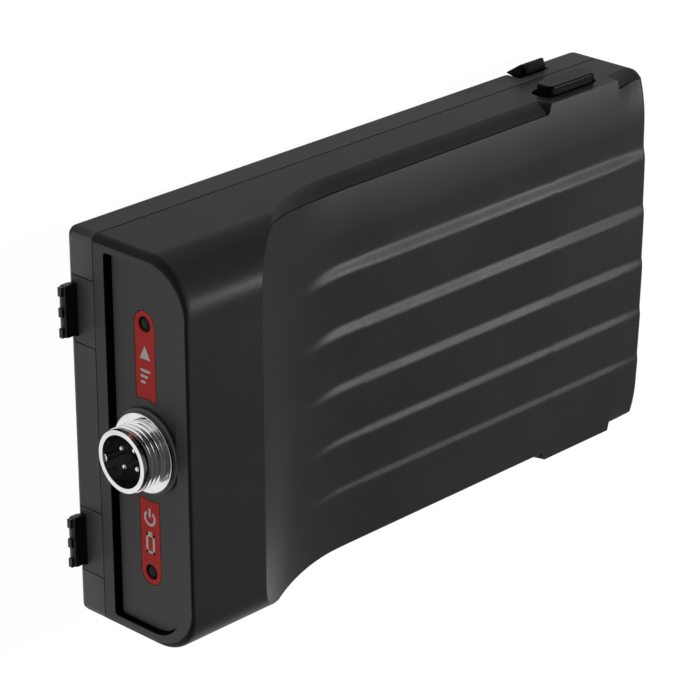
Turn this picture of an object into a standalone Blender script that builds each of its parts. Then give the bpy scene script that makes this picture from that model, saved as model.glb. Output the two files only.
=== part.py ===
import math

import bmesh
import bpy
from mathutils import Matrix

# Clip-in transmitter pack. It lies on its flat back: X runs along its length with the socket end at -X,
# Y runs across its width and Z is its thickness. Sizes are in millimetres until the last step.

# Body
LENGTH = 134.5
WIDTH = 75.0
PARTING = 6.8
HEAD_FRONT = 30.2
TAIL_FRONT = 20.0
HEAD_LENGTH = 17.9
SWEEP_LENGTH = 36.0
SWEEP_POWER = 2.7
HEAD_CORNER = 9.6
TAIL_CORNER = 5.2
CORNER_STEPS = 6
WALL = 2.2
FLOOR = 2.0
GAP = 0.25
FIT = 0.15
OVERRUN = 1.0
CAVITY_SLOPE = 0.62
CAVITY_LEAD = 1.0

# Edge roundings of the body
SOCKET_SIDE_ROUND = 1.6
SOCKET_FRONT_ROUND = 0.7
FAR_ROUND = 1.2
BACK_ROUND = 1.2
LEAST_ROUND = 0.05

# Ribbed front of the tail
CREASE_ANGLE = math.radians(49.0)
BAND_START_ANGLE = math.radians(8.0)
LIP = 0.35
LIP_RUN = 12.0
ROLL = 7.8
CROWN = 0.6
RIB_COUNT = 5
RIB_FIRST = -23.2
RIB_PITCH = 9.9
RIB_PITCH_GROWTH = 0.275
RIB_STEP = 0.55
RIB_LEDGE = 1.5
RIB_LEDGE_GROWTH = 0.25
RIB_SOFT = 1.0
RIB_START = 31.0
RIB_FULL = 48.0
RIB_BEND = 1.2

# Square pad beside each latch button
PAD_BEFORE = 11.05
PAD_RISE = 2.0
PAD_AFTER = 9.55
PAD_STEP = 0.3
PAD_HEIGHT = 17.3

# Recess and panel of the socket end
RECESS_DEPTH = 1.1
RECESS_RIM = 2.5
RECESS_LOW = 9.5
RECESS_HIGH = 26.8
RECESS_FRONT_ROUND = 7.0
RECESS_BACK_ROUND = 0.8
PANEL_THICK = 2.0
PANEL_SLIT = 1.8
LEDGE_THICK = 1.8
LEDGE_SIDE = 4.0
LEDGE_FRONT = 0.9
OPENING_FRONT_ROUND = 4.0
OPENING_BACK_ROUND = 0.5

# Socket with a 12 mm thread
SOCKET_Z = 18.5
RIM_REACH = 5.4
THREAD_RADIUS = 6.0
RIM_RADIUS = 5.85
RIM_LENGTH = 0.9
RIM_CHAMFER = 0.2
BORE_RADIUS = 4.85
FLANGE_RADIUS = 7.4
FLANGE_THICK = 0.7
GASKET_RADIUS = 8.0
GASKET_THICK = 0.5
BARREL_LENGTH = 14.55
INSERT_SINK = 7.05
INSERT_PROUD = 0.5
SOCKET_TURN = math.radians(10.0)
KEY_RADIUS = 0.8
KEY_SINK = 0.1
PIN_RADIUS = 0.5
PIN_SPACING = 3.4
PIN_SINK = 1.6
PIN_TAIL = 2.5
WASHER_THICK = 0.8
WASHER_RADIUS = 7.0
NUT_THICK = 2.7
NUT_FLATS = 14.0
PANEL_HOLE_RADIUS = THREAD_RADIUS + GAP

# Indicator lights and their labels
LABEL_Z = 18.3
LABEL_WIDTH = 5.0
LABEL_THICK = 0.4
LABEL_FIT = 0.08
LABEL_INNER_RADIUS = 9.8
LENS_Y = 23.8
LENS_RADIUS = 1.35
LENS_SINK = 0.1
LENS_DOME = 0.5
LENS_FLANGE_RADIUS = 2.3
LENS_FLANGE_THICK = 1.0
LED_HALF = 1.6
LED_THICK = 0.55
LED_BOARD_LENGTH = 15.2
LED_BOARD_EDGE = 0.8
LED_BOARD_LOW = 12.5
LED_BOARD_HIGH = 22.0
LED_SCREW_INSET = 2.1
LED_SCREW_RADIUS = 0.8
LED_HEAD_RADIUS = 1.3
LED_HEAD_THICK = 1.0
BOARD_THICK = 1.6

# Latches
LATCH_FROM_END = 18.05
BUTTON_LENGTH = 13.7
BUTTON_LOW = 11.4
BUTTON_HIGH = 16.0
BUTTON_ROUND = 1.7
BUTTON_REACH = 1.8
BUTTON_RIM = 0.4
WINDOW_CLEAR = 0.35
WINDOW_EXTRA = 0.9
BRIDGE_LENGTH = 17.2
BRIDGE_THICK = 2.2
BRIDGE_LOW = 2.3
BRIDGE_EDGE = 0.3
NOSE_SHIFT = 1.65
NOSE_LENGTH = 7.8
NOSE_TIP_LENGTH = 6.2
NOSE_REACH = 2.3
NOSE_CATCH = 3.9
NOSE_LAND = 0.6
NOSE_STEP = 0.4
NOSE_CLEAR = 0.1
NOSE_FOOT = 0.5
SLOT_CLEAR = 0.4
POCKET_CLEAR = 1.5
SPRING_RADIUS = 2.5
SPRING_WIRE = 0.3
SPRING_TURNS = 5
SPRING_Z = 9.0
SPRING_ROOM = 13.1
SEAT_THICK = 2.0
SEAT_LENGTH = 8.0
SEAT_HIGH = 12.6
STUB_RADIUS = 1.5
STUB_LENGTH = 1.8

# Hook tongues of the socket end
TONGUE_INSET = 15.1
TONGUE_LENGTH = 10.0
TONGUE_LOW = 0.5
TONGUE_HIGH = 2.4
TONGUE_REACH = 2.8
TOOTH_REACH = 0.5
TOOTH_LENGTH = 1.7
TOOTH_PITCH = 3.9
TOOTH_INSET = 0.5
TONGUE_ROUND = 0.6
TONGUE_BASE_LENGTH = 12.6
TONGUE_BASE_LOW = 1.25
TONGUE_BASE_DEPTH = 2.0
POCKET_PAD_LENGTH = 17.0
POCKET_BACK = 2.0

# Fixings
NEAR_SCREW = (22.25, 8.1)
FAR_SCREW = (6.9, 9.9)
POST_RADIUS = 3.0
COVER_POST_RADIUS = 3.6
COVER_SCREW_RADIUS = 1.1
COVER_SCREW_LENGTH = 9.0
COVER_HEAD_RADIUS = 2.4
COVER_HEAD_THICK = 1.8
COVER_HEAD_SINK = 1.0
PILOT_REACH = 1.0
HEAD_CHAMFER = 0.4
SCREW_POINT = 0.6
BOARD_SCREW_INSET = 4.0
BOARD_SCREW_RADIUS = 0.9
BOARD_HEAD_RADIUS = 2.0
BOARD_HEAD_THICK = 1.4
STANDOFF_RADIUS = 2.6
SEAM_LIP_THICK = 1.0
SEAM_LIP_RISE = 1.1
SEAM_LIP_DROP = 2.0

# Boards, battery and leads
BOARD_NEAR = 11.25
BOARD_AWAY = 29.25
BOARD_INSET = 12.0
BOARD_LOW = 4.8
HEADER_PLACE = 8.5
HEADER_SIZE = (5.0, 10.0, 2.8)
RIBBON_HALF = 2.6
RIBBON_THICK = 1.0
SHIELD_PLACE = 39.0
SHIELD_Y = 13.0
SHIELD_SIZE = (26.0, 20.0, 2.6)
SHIELD_EDGE = 0.4
BATTERY_NEAR = 22.0
BATTERY_AWAY = 10.0
BATTERY_INSET = 2.0
BATTERY_LOW = 10.0
BATTERY_HIGH = 16.3
BATTERY_ROUND = 2.0
PAD_NEAR = 16.0
PAD_MARGIN = 4.0
CRADLE_NEAR = 12.0
CRADLE_THICK = 1.6
CRADLE_LOW = 12.0
ANTENNA_LENGTH = 20.5
ANTENNA_AWAY = 4.25
ANTENNA_HALF = 17.0
ANTENNA_LOW = 6.4
ANTENNA_THICK = 0.8
ANTENNA_POST_INSET = 3.0
LEAD_RADIUS = 0.8
LEAD_BEND = 5.0

# Finishes: colour, roughness, metallic
SHELL_FINISH = ((0.035, 0.035, 0.037), 0.5, 0.0)
GLOSS_FINISH = ((0.010, 0.010, 0.011), 0.25, 0.0)
PANEL_FINISH = ((0.030, 0.030, 0.032), 0.45, 0.0)
LABEL_FINISH = ((0.39, 0.05, 0.045), 0.4, 0.0)
LENS_FINISH = ((0.05, 0.07, 0.06), 0.15, 0.0)
LED_FINISH = ((0.7, 0.68, 0.55), 0.4, 0.0)
BOARD_FINISH = ((0.02, 0.12, 0.05), 0.4, 0.0)
CHROME_FINISH = ((0.75, 0.75, 0.76), 0.15, 1.0)
STEEL_FINISH = ((0.55, 0.55, 0.56), 0.3, 1.0)
BRASS_FINISH = ((0.75, 0.60, 0.30), 0.25, 1.0)
RUBBER_FINISH = ((0.012, 0.012, 0.012), 0.7, 0.0)
BATTERY_FINISH = ((0.10, 0.13, 0.22), 0.5, 0.0)
FOAM_FINISH = ((0.07, 0.07, 0.07), 0.9, 0.0)
LEAD_FINISH = ((0.35, 0.04, 0.03), 0.5, 0.0)
COAX_FINISH = ((0.02, 0.02, 0.02), 0.5, 0.0)

START = -LENGTH / 2.0
FAR = LENGTH / 2.0
SIDE = WIDTH / 2.0
INNER_SIDE = SIDE - WALL
SHELL_LOW = PARTING + GAP / 2.0
COVER_HIGH = PARTING - GAP / 2.0
PANEL_FACE = START + RECESS_DEPTH
PANEL_BACK = PANEL_FACE + PANEL_THICK
LEDGE_FACE = PANEL_BACK + GAP
LEDGE_BACK = LEDGE_FACE + LEDGE_THICK
BOARD_HIGH = BOARD_LOW + BOARD_THICK
RIM_X = START - RIM_REACH
BARREL_END = RIM_X + BARREL_LENGTH
INSERT_FACE = RIM_X + INSERT_SINK
INSERT_END = BARREL_END + INSERT_PROUD
PIN_END = BARREL_END + PIN_TAIL
RECESS_HALF = SIDE - RECESS_RIM
OPENING_HALF = RECESS_HALF - LEDGE_SIDE
OPENING_HIGH = RECESS_HIGH - LEDGE_FRONT
LED_BOARD_OUTER = RECESS_HALF - LED_BOARD_EDGE
LED_BOARD_INNER = LED_BOARD_OUTER - LED_BOARD_LENGTH
LED_SCREW_Y = RECESS_HALF - LED_SCREW_INSET
LATCH_X = FAR - LATCH_FROM_END
LATCH_ALONG = LENGTH - LATCH_FROM_END
NOSE_CENTRE = LATCH_X + NOSE_SHIFT
PAD_START = LATCH_ALONG - PAD_BEFORE
PAD_FULL = PAD_START + PAD_RISE
PAD_END = LATCH_ALONG + PAD_AFTER
SPRING_SEAT_Y = SIDE - SPRING_ROOM
TONGUE_Y = SIDE - TONGUE_INSET
COVER_SCREWS = [(START + NEAR_SCREW[0], way * (SIDE - NEAR_SCREW[1])) for way in (1.0, -1.0)]
COVER_SCREWS += [(FAR - FAR_SCREW[0], way * (SIDE - FAR_SCREW[1])) for way in (1.0, -1.0)]
BOARD_START = START + BOARD_NEAR
BOARD_END = FAR - BOARD_AWAY
BOARD_HALF = SIDE - BOARD_INSET
BOARD_SCREWS = []
for place in (BOARD_START + BOARD_SCREW_INSET, BOARD_END - BOARD_SCREW_INSET):
    BOARD_SCREWS += [(place, way * (BOARD_HALF - BOARD_SCREW_INSET)) for way in (1.0, -1.0)]
HEADER_X = BOARD_START + HEADER_PLACE
SHIELD_X = BOARD_START + SHIELD_PLACE
BATTERY_START = BOARD_START + BATTERY_NEAR
BATTERY_END = BOARD_END - BATTERY_AWAY
BATTERY_HALF = BOARD_HALF - BATTERY_INSET
PAD_FIRST = BATTERY_START + PAD_NEAR
CRADLE_START = BATTERY_START + CRADLE_NEAR
ANTENNA_END = FAR - ANTENNA_AWAY
ANTENNA_START = ANTENNA_END - ANTENNA_LENGTH
ANTENNA_POSTS = [(ANTENNA_START + ANTENNA_POST_INSET, 0.0), (ANTENNA_END - ANTENNA_POST_INSET, 0.0)]

for old in list(bpy.data.objects):
    bpy.data.objects.remove(old)
parts = bpy.data.collections.new("transmitter_pack")
bpy.context.scene.collection.children.link(parts)

# Turns that stand the local Z axis along a chosen axis of the part
AXIS_TURN = {
    "X": Matrix(((0, 0, 1, 0), (1, 0, 0, 0), (0, 1, 0, 0), (0, 0, 0, 1))),
    "Y": Matrix(((0, 1, 0, 0), (0, 0, 1, 0), (1, 0, 0, 0), (0, 0, 0, 1))),
    "Z": Matrix.Identity(4),
}


def smooth_step(value, low, high):
    t = min(1.0, max(0.0, (value - low) / (high - low)))
    return t * t * (3.0 - 2.0 * t)


def mix(a, b, t):
    return tuple(p + (q - p) * t for p, q in zip(a, b))


def add_object(name, mesh):
    made = bpy.data.objects.new(name, mesh)
    parts.objects.link(made)
    return made


def tidy(mesh):
    work = bmesh.new()
    work.from_mesh(mesh)
    bmesh.ops.remove_doubles(work, verts=work.verts, dist=0.0001)
    bmesh.ops.dissolve_degenerate(work, edges=work.edges, dist=0.0001)
    bmesh.ops.recalc_face_normals(work, faces=work.faces)
    work.to_mesh(mesh)
    work.free()


def settle(made):
    graph = bpy.context.evaluated_depsgraph_get()
    graph.update()
    mesh = bpy.data.meshes.new_from_object(made.evaluated_get(graph))
    mesh.transform(made.matrix_world)
    name = made.name
    bpy.data.objects.remove(made)
    tidy(mesh)
    return add_object(name, mesh)


def take(name):
    made = bpy.context.active_object
    made.name = name
    for home in list(made.users_collection):
        home.objects.unlink(made)
    parts.objects.link(made)
    made.data.transform(made.matrix_world)
    made.matrix_world = Matrix.Identity(4)
    return made


def box(name, low, high, rounding=0.0, segments=2):
    centre = [(a + b) / 2.0 for a, b in zip(low, high)]
    bpy.ops.mesh.primitive_cube_add(size=1.0, location=centre, scale=[b - a for a, b in zip(low, high)])
    made = take(name)
    if rounding:
        bevel = made.modifiers.new("rounding", "BEVEL")
        bevel.width = rounding
        bevel.segments = segments
        made = settle(made)
    return made


def rod(name, axis, across, low, high, radius, sides=16, rounding=0.0):
    bpy.ops.mesh.primitive_cylinder_add(vertices=sides, radius=radius, depth=high - low)
    made = take(name)
    made.data.transform(Matrix.Translation((across[0], across[1], (low + high) / 2.0)))
    made.data.transform(AXIS_TURN[axis])
    if rounding:
        bevel = made.modifiers.new("rounding", "BEVEL")
        bevel.width = rounding
        bevel.segments = 2
        bevel.angle_limit = math.radians(60.0)
        made = settle(made)
    return made


def turned(name, axis, across, profile, closed, sides):
    mesh = bpy.data.meshes.new(name)
    count = len(profile)
    edges = [(i, i + 1) for i in range(count - 1)]
    if closed:
        edges.append((count - 1, 0))
    mesh.from_pydata([(radius, 0.0, place) for place, radius in profile], edges, [])
    made = add_object(name, mesh)
    screw = made.modifiers.new("turn", "SCREW")
    screw.axis = "Z"
    screw.steps = sides
    screw.render_steps = sides
    screw.use_merge_vertices = True
    screw.merge_threshold = 0.0001
    made = settle(made)
    made.data.transform(Matrix.Translation((across[0], across[1], 0.0)))
    made.data.transform(AXIS_TURN[axis])
    return made


def prism(name, axis, outline, low, high, rim=0.0, holes=()):
    curve = bpy.data.curves.new(name, "CURVE")
    curve.dimensions = "2D"
    curve.fill_mode = "BOTH"
    curve.extrude = (high - low) / 2.0 - rim
    curve.bevel_depth = rim
    curve.bevel_resolution = 1
    curve.offset = -rim
    for ring in (outline,) + tuple(holes):
        line = curve.splines.new("POLY")
        line.points.add(len(ring) - 1)
        for point, (a, b) in zip(line.points, ring):
            point.co = (a, b, 0.0, 1.0)
        line.use_cyclic_u = True
    made = settle(add_object(name, curve))
    made.data.transform(Matrix.Translation((0.0, 0.0, (low + high) / 2.0)))
    made.data.transform(AXIS_TURN[axis])
    return made


def tube(name, points, radius, smooth=False, sides=1):
    curve = bpy.data.curves.new(name, "CURVE")
    curve.dimensions = "3D"
    curve.bevel_depth = radius
    curve.bevel_resolution = sides
    curve.use_fill_caps = True
    curve.resolution_u = 4
    line = curve.splines.new("NURBS" if smooth else "POLY")
    line.points.add(len(points) - 1)
    for point, place in zip(line.points, points):
        point.co = (*place, 1.0)
    if smooth:
        line.order_u = 3
        line.use_endpoint_u = True
    return settle(add_object(name, curve))


def loft(name, rings):
    work = bmesh.new()
    rows = [[work.verts.new(point) for point in ring] for ring in rings]
    count = len(rows[0])
    for near, far in zip(rows, rows[1:]):
        for i in range(count):
            j = (i + 1) % count
            work.faces.new((near[i], near[j], far[j], far[i]))
    work.faces.new(rows[0])
    work.faces.new(rows[-1])
    mesh = bpy.data.meshes.new(name)
    work.to_mesh(mesh)
    work.free()
    tidy(mesh)
    return add_object(name, mesh)


def merge(made, tools, operation):
    for tool in tools:
        step = made.modifiers.new(operation.lower(), "BOOLEAN")
        step.operation = operation
        step.solver = "EXACT"
        step.object = tool
        made = settle(made)
        bpy.data.objects.remove(tool)
    return made


def cut(made, *tools):
    return merge(made, tools, "DIFFERENCE")


def join(made, *tools):
    return merge(made, tools, "UNION")


def arc(centre, radius, first, last, steps):
    turn = [first + (last - first) * i / steps for i in range(steps + 1)]
    return [(centre[0] + radius * math.cos(t), centre[1] + radius * math.sin(t)) for t in turn]


def round_rect(low, high, rounds, steps=3):
    quarter = math.pi / 2.0
    corners = ((high[0], high[1], 0), (low[0], high[1], 1), (low[0], low[1], 2), (high[0], low[1], 3))
    signs = ((-1, -1), (1, -1), (1, 1), (-1, 1))
    ring = []
    for (a, b, turn), (da, db), radius in zip(corners, signs, rounds):
        centre = (a + da * radius, b + db * radius)
        ring += arc(centre, radius, turn * quarter, (turn + 1) * quarter, steps)
    return ring


def paint(made, finish):
    colour, roughness, metallic = finish
    material = bpy.data.materials.new(made.name + "_finish")
    material.use_nodes = True
    shader = material.node_tree.nodes["Principled BSDF"]
    shader.inputs["Base Color"].default_value = (*colour, 1.0)
    shader.inputs["Roughness"].default_value = roughness
    shader.inputs["Metallic"].default_value = metallic
    made.data.materials.clear()
    made.data.materials.append(material)


# Outer form of the body as cross-sections along its length

def sweep_height(along):
    fall = min(1.0, (along - HEAD_LENGTH) / SWEEP_LENGTH)
    return TAIL_FRONT + (HEAD_FRONT - TAIL_FRONT) * (1.0 - fall) ** SWEEP_POWER


def front_height(along):
    return min(HEAD_FRONT, sweep_height(along))


def end_stations(side_round, front_round, steps=3):
    rows = []
    for i in range(steps + 1):
        turn = math.pi / 2.0 * i / steps
        inset = 1.0 - math.sin(turn)
        rows.append((side_round * (1.0 - math.cos(turn)), side_round * inset, front_round * inset))
    return rows


def block_ring(along, side_inset, front_inset):
    corner = (SIDE - HEAD_CORNER, HEAD_FRONT - HEAD_CORNER)
    half = [(SIDE, SHELL_LOW)] + arc(corner, HEAD_CORNER, 0.0, math.pi / 2.0, CORNER_STEPS)
    ring = [(-y, z) for y, z in half] + list(reversed(half))
    wide = (SIDE - side_inset) / SIDE
    tall = 1.0 - front_inset / (HEAD_FRONT - SHELL_LOW)
    return [(START + along, y * wide, SHELL_LOW + (z - SHELL_LOW) * tall) for y, z in ring]


def block():
    rings = [block_ring(*row) for row in end_stations(SOCKET_SIDE_ROUND, SOCKET_FRONT_ROUND)]
    far = [(LENGTH - along, side, 0.0) for along, side, front in end_stations(FAR_ROUND, 0.0)]
    rings += [block_ring(*row) for row in reversed(far)]
    return loft("front_shell", rings)


def pad_share(along):
    return smooth_step(along, PAD_START, PAD_FULL) - smooth_step(along, PAD_END, PAD_END + PAD_STEP)


def roll_points(top, crease):
    fall = top[1] - crease[1]
    start = 2.0 * CROWN / top[0] * (crease[0] - top[0]) / fall
    points = []
    for i in range(5):
        t = 1.0 - i / 4.0
        points.append((mix(top, crease, t)[0], top[1] - fall * ((1.0 - start) * t * t + start * t)))
    return points


def side_points(along):
    relief = smooth_step(along, HEAD_LENGTH, HEAD_LENGTH + LIP_RUN)
    lip = LIP * relief
    edge = sweep_height(along) - CROWN / 2.0 * relief
    centre = (SIDE - TAIL_CORNER, edge - lip - TAIL_CORNER)
    lower = arc(centre, TAIL_CORNER, BAND_START_ANGLE, CREASE_ANGLE, 3)
    crease = arc(centre, TAIL_CORNER + lip, CREASE_ANGLE, CREASE_ANGLE, 1)[0]
    upper = roll_points((SIDE - ROLL, edge), crease)
    pad = pad_share(along)
    outside = SIDE + OVERRUN
    low = lower[0][1]
    square = [(outside, low + (PAD_HEIGHT - low) * i / 3.0) for i in range(4)]
    shoulder = [(outside, PAD_HEIGHT + LIP), mix(upper[1], (outside, PAD_HEIGHT + LIP), 0.5), upper[2]]
    lower = [mix(a, b, pad) for a, b in zip(lower, square)]
    upper = [mix(a, b, pad) for a, b in zip(upper, shoulder)] + upper[3:]
    return [(outside, SHELL_LOW - OVERRUN), (outside, low - OVERRUN)] + lower + upper


def front_points(along, half, edge):
    relief = smooth_step(along, HEAD_LENGTH, HEAD_LENGTH + LIP_RUN)
    share = smooth_step(along, RIB_START, RIB_FULL)
    row = []
    for k in range(RIB_COUNT):
        middle = RIB_FIRST + RIB_PITCH * k + RIB_PITCH_GROWTH * k * k - RIB_BEND * (1.0 - share)
        ledge = (RIB_LEDGE + RIB_LEDGE_GROWTH * k) / 2.0
        lift = RIB_STEP / 2.0 * share
        row.append((middle - ledge - RIB_SOFT, lift * 0.95))
        row.append((middle - ledge, lift))
        row.append((middle + ledge, -lift))
        row.append((middle + ledge + RIB_SOFT, -lift * 0.95))
    return [(y, edge + CROWN * relief * (1.0 - (y / half) ** 2) + rise) for y, rise in row]


def sweep_ring(along, height_from, front_inset=0.0):
    side = side_points(height_from)
    half, edge = side[-1]
    ring = [(-y, z) for y, z in side] + front_points(height_from, half, edge) + list(reversed(side))
    tall = 1.0 - front_inset / (edge - SHELL_LOW)
    return [(START + along, y, SHELL_LOW + (z - SHELL_LOW) * tall) for y, z in ring]


def sweep():
    lead = HEAD_LENGTH - SWEEP_LENGTH / 8.0
    stations = [lead, (lead + HEAD_LENGTH) / 2.0]
    stations += [HEAD_LENGTH + SWEEP_LENGTH * (i / 12.0) for i in range(13)]
    stations += [PAD_START + (PAD_FULL - PAD_START) * i / 4.0 for i in range(5)]
    stations += [PAD_END, PAD_END + PAD_STEP]
    rings = [sweep_ring(-OVERRUN, lead)] + [sweep_ring(place, place) for place in stations]
    for along, side, front in reversed(end_stations(FAR_ROUND, FAR_ROUND)):
        rings.append(sweep_ring(LENGTH - along, LENGTH, front))
    rings.append(sweep_ring(LENGTH + OVERRUN, LENGTH, FAR_ROUND + OVERRUN))
    return loft("sweep", rings)


def corner_radius(along):
    share = (front_height(along) - TAIL_FRONT) / (HEAD_FRONT - TAIL_FRONT)
    return TAIL_CORNER + (HEAD_CORNER - TAIL_CORNER) * share


def cavity_ring(along):
    high = front_height(along) - WALL
    slope = CAVITY_SLOPE * corner_radius(along)
    half = [(INNER_SIDE, COVER_HIGH - OVERRUN), (INNER_SIDE, high - slope), (INNER_SIDE - slope, high)]
    ring = [(-y, z) for y, z in half] + list(reversed(half))
    return [(START + along, y, z) for y, z in ring]


def cavity():
    first = HEAD_LENGTH - CAVITY_LEAD
    stations = [LEDGE_BACK - START] + [first + SWEEP_LENGTH * i / 6.0 for i in range(7)] + [LENGTH - WALL]
    rings = [cavity_ring(place) for place in stations]
    return loft("cavity", rings)


def shell_post(name, place):
    high = front_height(place[0] - START + POST_RADIUS) - WALL / 2.0
    return rod(name, "Z", place, SHELL_LOW, high, POST_RADIUS)


def recess_outline(margin, slit=0.0):
    front = RECESS_FRONT_ROUND - margin
    back = RECESS_BACK_ROUND
    low = (-RECESS_HALF + margin, RECESS_LOW + margin + slit)
    high = (RECESS_HALF - margin, RECESS_HIGH - margin)
    return round_rect(low, high, (front, front, back, back), 4)


def button_outline(margin, extra=0.0):
    low = (BUTTON_LOW - margin, LATCH_X - BUTTON_LENGTH / 2.0 - margin - extra)
    high = (BUTTON_HIGH + margin, LATCH_X + BUTTON_LENGTH / 2.0 + margin)
    return round_rect(low, high, (BUTTON_ROUND + margin,) * 4)


def build_shell():
    shell = merge(block(), [sweep()], "INTERSECT")
    shell = cut(shell, cavity())
    shell = cut(shell, prism("recess", "X", recess_outline(0.0), START - OVERRUN, LEDGE_FACE))
    rounds = (OPENING_FRONT_ROUND, OPENING_FRONT_ROUND, OPENING_BACK_ROUND, OPENING_BACK_ROUND)
    opening = round_rect((-OPENING_HALF, RECESS_LOW), (OPENING_HALF, OPENING_HIGH), rounds)
    shell = cut(shell, prism("opening", "X", opening, LEDGE_FACE - OVERRUN, LEDGE_BACK + OVERRUN))
    shell = join(shell, *[shell_post("post", place) for place in COVER_SCREWS])
    pilots = []
    for place in COVER_SCREWS:
        high = COVER_HEAD_SINK + COVER_HEAD_THICK + COVER_SCREW_LENGTH + PILOT_REACH
        pilots.append(rod("pilot", "Z", place, SHELL_LOW - OVERRUN, high, COVER_SCREW_RADIUS + FIT, 12))
    shell = cut(shell, *pilots)
    for way in (1.0, -1.0):
        half = BRIDGE_LENGTH / 2.0 + SLOT_CLEAR
        inner = INNER_SIDE - BRIDGE_THICK - BUTTON_REACH - POCKET_CLEAR
        ends = sorted((way * inner, way * INNER_SIDE))
        pocket = box("pocket", (LATCH_X - half, ends[0], COVER_HIGH - OVERRUN),
                     (LATCH_X + half, ends[1], BUTTON_HIGH + SLOT_CLEAR))
        ends = sorted((way * (INNER_SIDE - OVERRUN), way * (SIDE + OVERRUN)))
        window = prism("window", "Y", button_outline(WINDOW_CLEAR, WINDOW_EXTRA), ends[0], ends[1])
        shell = cut(shell, pocket, window)
        inner = BATTERY_HALF + GAP
        ends = sorted((way * inner, way * (inner + CRADLE_THICK)))
        shell = join(shell, box("cradle", (CRADLE_START, ends[0], CRADLE_LOW),
                                (BATTERY_END, ends[1], TAIL_FRONT - WALL / 2.0)))
        pilot = rod("pilot", "X", (way * LED_SCREW_Y, LABEL_Z), LEDGE_FACE - OVERRUN, LEDGE_BACK + OVERRUN,
                    LED_SCREW_RADIUS + FIT, 10)
        shell = cut(shell, pilot)
    paint(shell, SHELL_FINISH)


def cover_ring(place, inset):
    low = (START + inset, -SIDE + inset)
    high = (FAR - inset, SIDE - inset)
    near = SOCKET_SIDE_ROUND - inset
    away = max(FAR_ROUND - inset, LEAST_ROUND)
    return [(x, y, place) for x, y in round_rect(low, high, (away, near, near, away))]


def seam_lip(name, margin, low, high):
    near = LEDGE_BACK + GAP
    outer = box(name, (near, -INNER_SIDE + GAP - margin, low),
                (FAR - WALL - GAP + margin, INNER_SIDE - GAP + margin, high))
    inset = GAP + SEAM_LIP_THICK
    inner = box("inner", (near + SEAM_LIP_THICK, -INNER_SIDE + inset, low - OVERRUN),
                (FAR - WALL - inset, INNER_SIDE - inset, high + OVERRUN))
    half = BRIDGE_LENGTH / 2.0 + SLOT_CLEAR
    latch_way = box("latch_way", (LATCH_X - half, -WIDTH, low - OVERRUN),
                    (LATCH_X + half, WIDTH, high + OVERRUN))
    return cut(outer, inner, latch_way)


def build_cover():
    rings = []
    for i in range(4):
        turn = math.pi / 2.0 * i / 3.0
        rings.append(cover_ring(BACK_ROUND * (1.0 - math.cos(turn)), BACK_ROUND * (1.0 - math.sin(turn))))
    rings.append(cover_ring(COVER_HIGH, 0.0))
    cover = loft("back_cover", rings)
    tray = box("tray", (START + WALL, -INNER_SIDE, FLOOR), (FAR - WALL, INNER_SIDE, PARTING + OVERRUN))
    cover = cut(cover, tray)
    posts = [rod("post", "Z", place, FLOOR / 2.0, COVER_HIGH, COVER_POST_RADIUS) for place in COVER_SCREWS]
    high = BOARD_LOW - FIT
    posts += [rod("standoff", "Z", place, FLOOR / 2.0, high, STANDOFF_RADIUS, 14) for place in BOARD_SCREWS]
    high = ANTENNA_LOW - FIT
    posts += [rod("rest", "Z", place, FLOOR / 2.0, high, STANDOFF_RADIUS, 14) for place in ANTENNA_POSTS]
    cover = join(cover, *posts)
    lip = join(seam_lip("lip", GAP + WALL / 2.0, COVER_HIGH - SEAM_LIP_DROP, COVER_HIGH),
               seam_lip("rise", 0.0, COVER_HIGH - SEAM_LIP_DROP / 2.0, COVER_HIGH + SEAM_LIP_RISE))
    cover = join(cover, lip)
    for place in COVER_SCREWS:
        sink = COVER_HEAD_SINK + COVER_HEAD_THICK + FIT
        cover = cut(cover, rod("sink", "Z", place, -OVERRUN, sink, COVER_HEAD_RADIUS + FIT),
                    rod("hole", "Z", place, COVER_HEAD_SINK, PARTING + OVERRUN, COVER_SCREW_RADIUS + FIT, 12))
    for place in BOARD_SCREWS:
        cover = cut(cover, rod("pilot", "Z", place, FLOOR, PARTING, BOARD_SCREW_RADIUS + FIT, 10))
    for way in (1.0, -1.0):
        half = NOSE_LENGTH / 2.0 + SLOT_CLEAR
        ends = sorted((way * (INNER_SIDE - GAP), way * (SIDE + OVERRUN)))
        slot = box("slot", (NOSE_CENTRE - half, ends[0], -OVERRUN),
                   (NOSE_CENTRE + half, ends[1], NOSE_CATCH + SLOT_CLEAR))
        cover = cut(cover, slot)
        seat = SPRING_SEAT_Y - FIT
        ends = sorted((way * (seat - SEAT_THICK), way * seat))
        rest = box("seat", (LATCH_X - SEAT_LENGTH / 2.0, ends[0], FLOOR / 2.0),
                   (LATCH_X + SEAT_LENGTH / 2.0, ends[1], SEAT_HIGH))
        middle = way * TONGUE_Y
        half = POCKET_PAD_LENGTH / 2.0
        deep = TONGUE_BASE_DEPTH + FIT
        pad = box("pad", (START + WALL / 2.0, middle - half, FLOOR / 2.0),
                  (START + deep + POCKET_BACK, middle + half, COVER_HIGH))
        cover = join(cover, rest, pad)
        half = TONGUE_BASE_LENGTH / 2.0 + FIT
        cover = cut(cover, box("seat", (START - OVERRUN, middle - half, TONGUE_BASE_LOW - FIT),
                               (START + deep, middle + half, PARTING + OVERRUN)))
    paint(cover, SHELL_FINISH)


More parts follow.
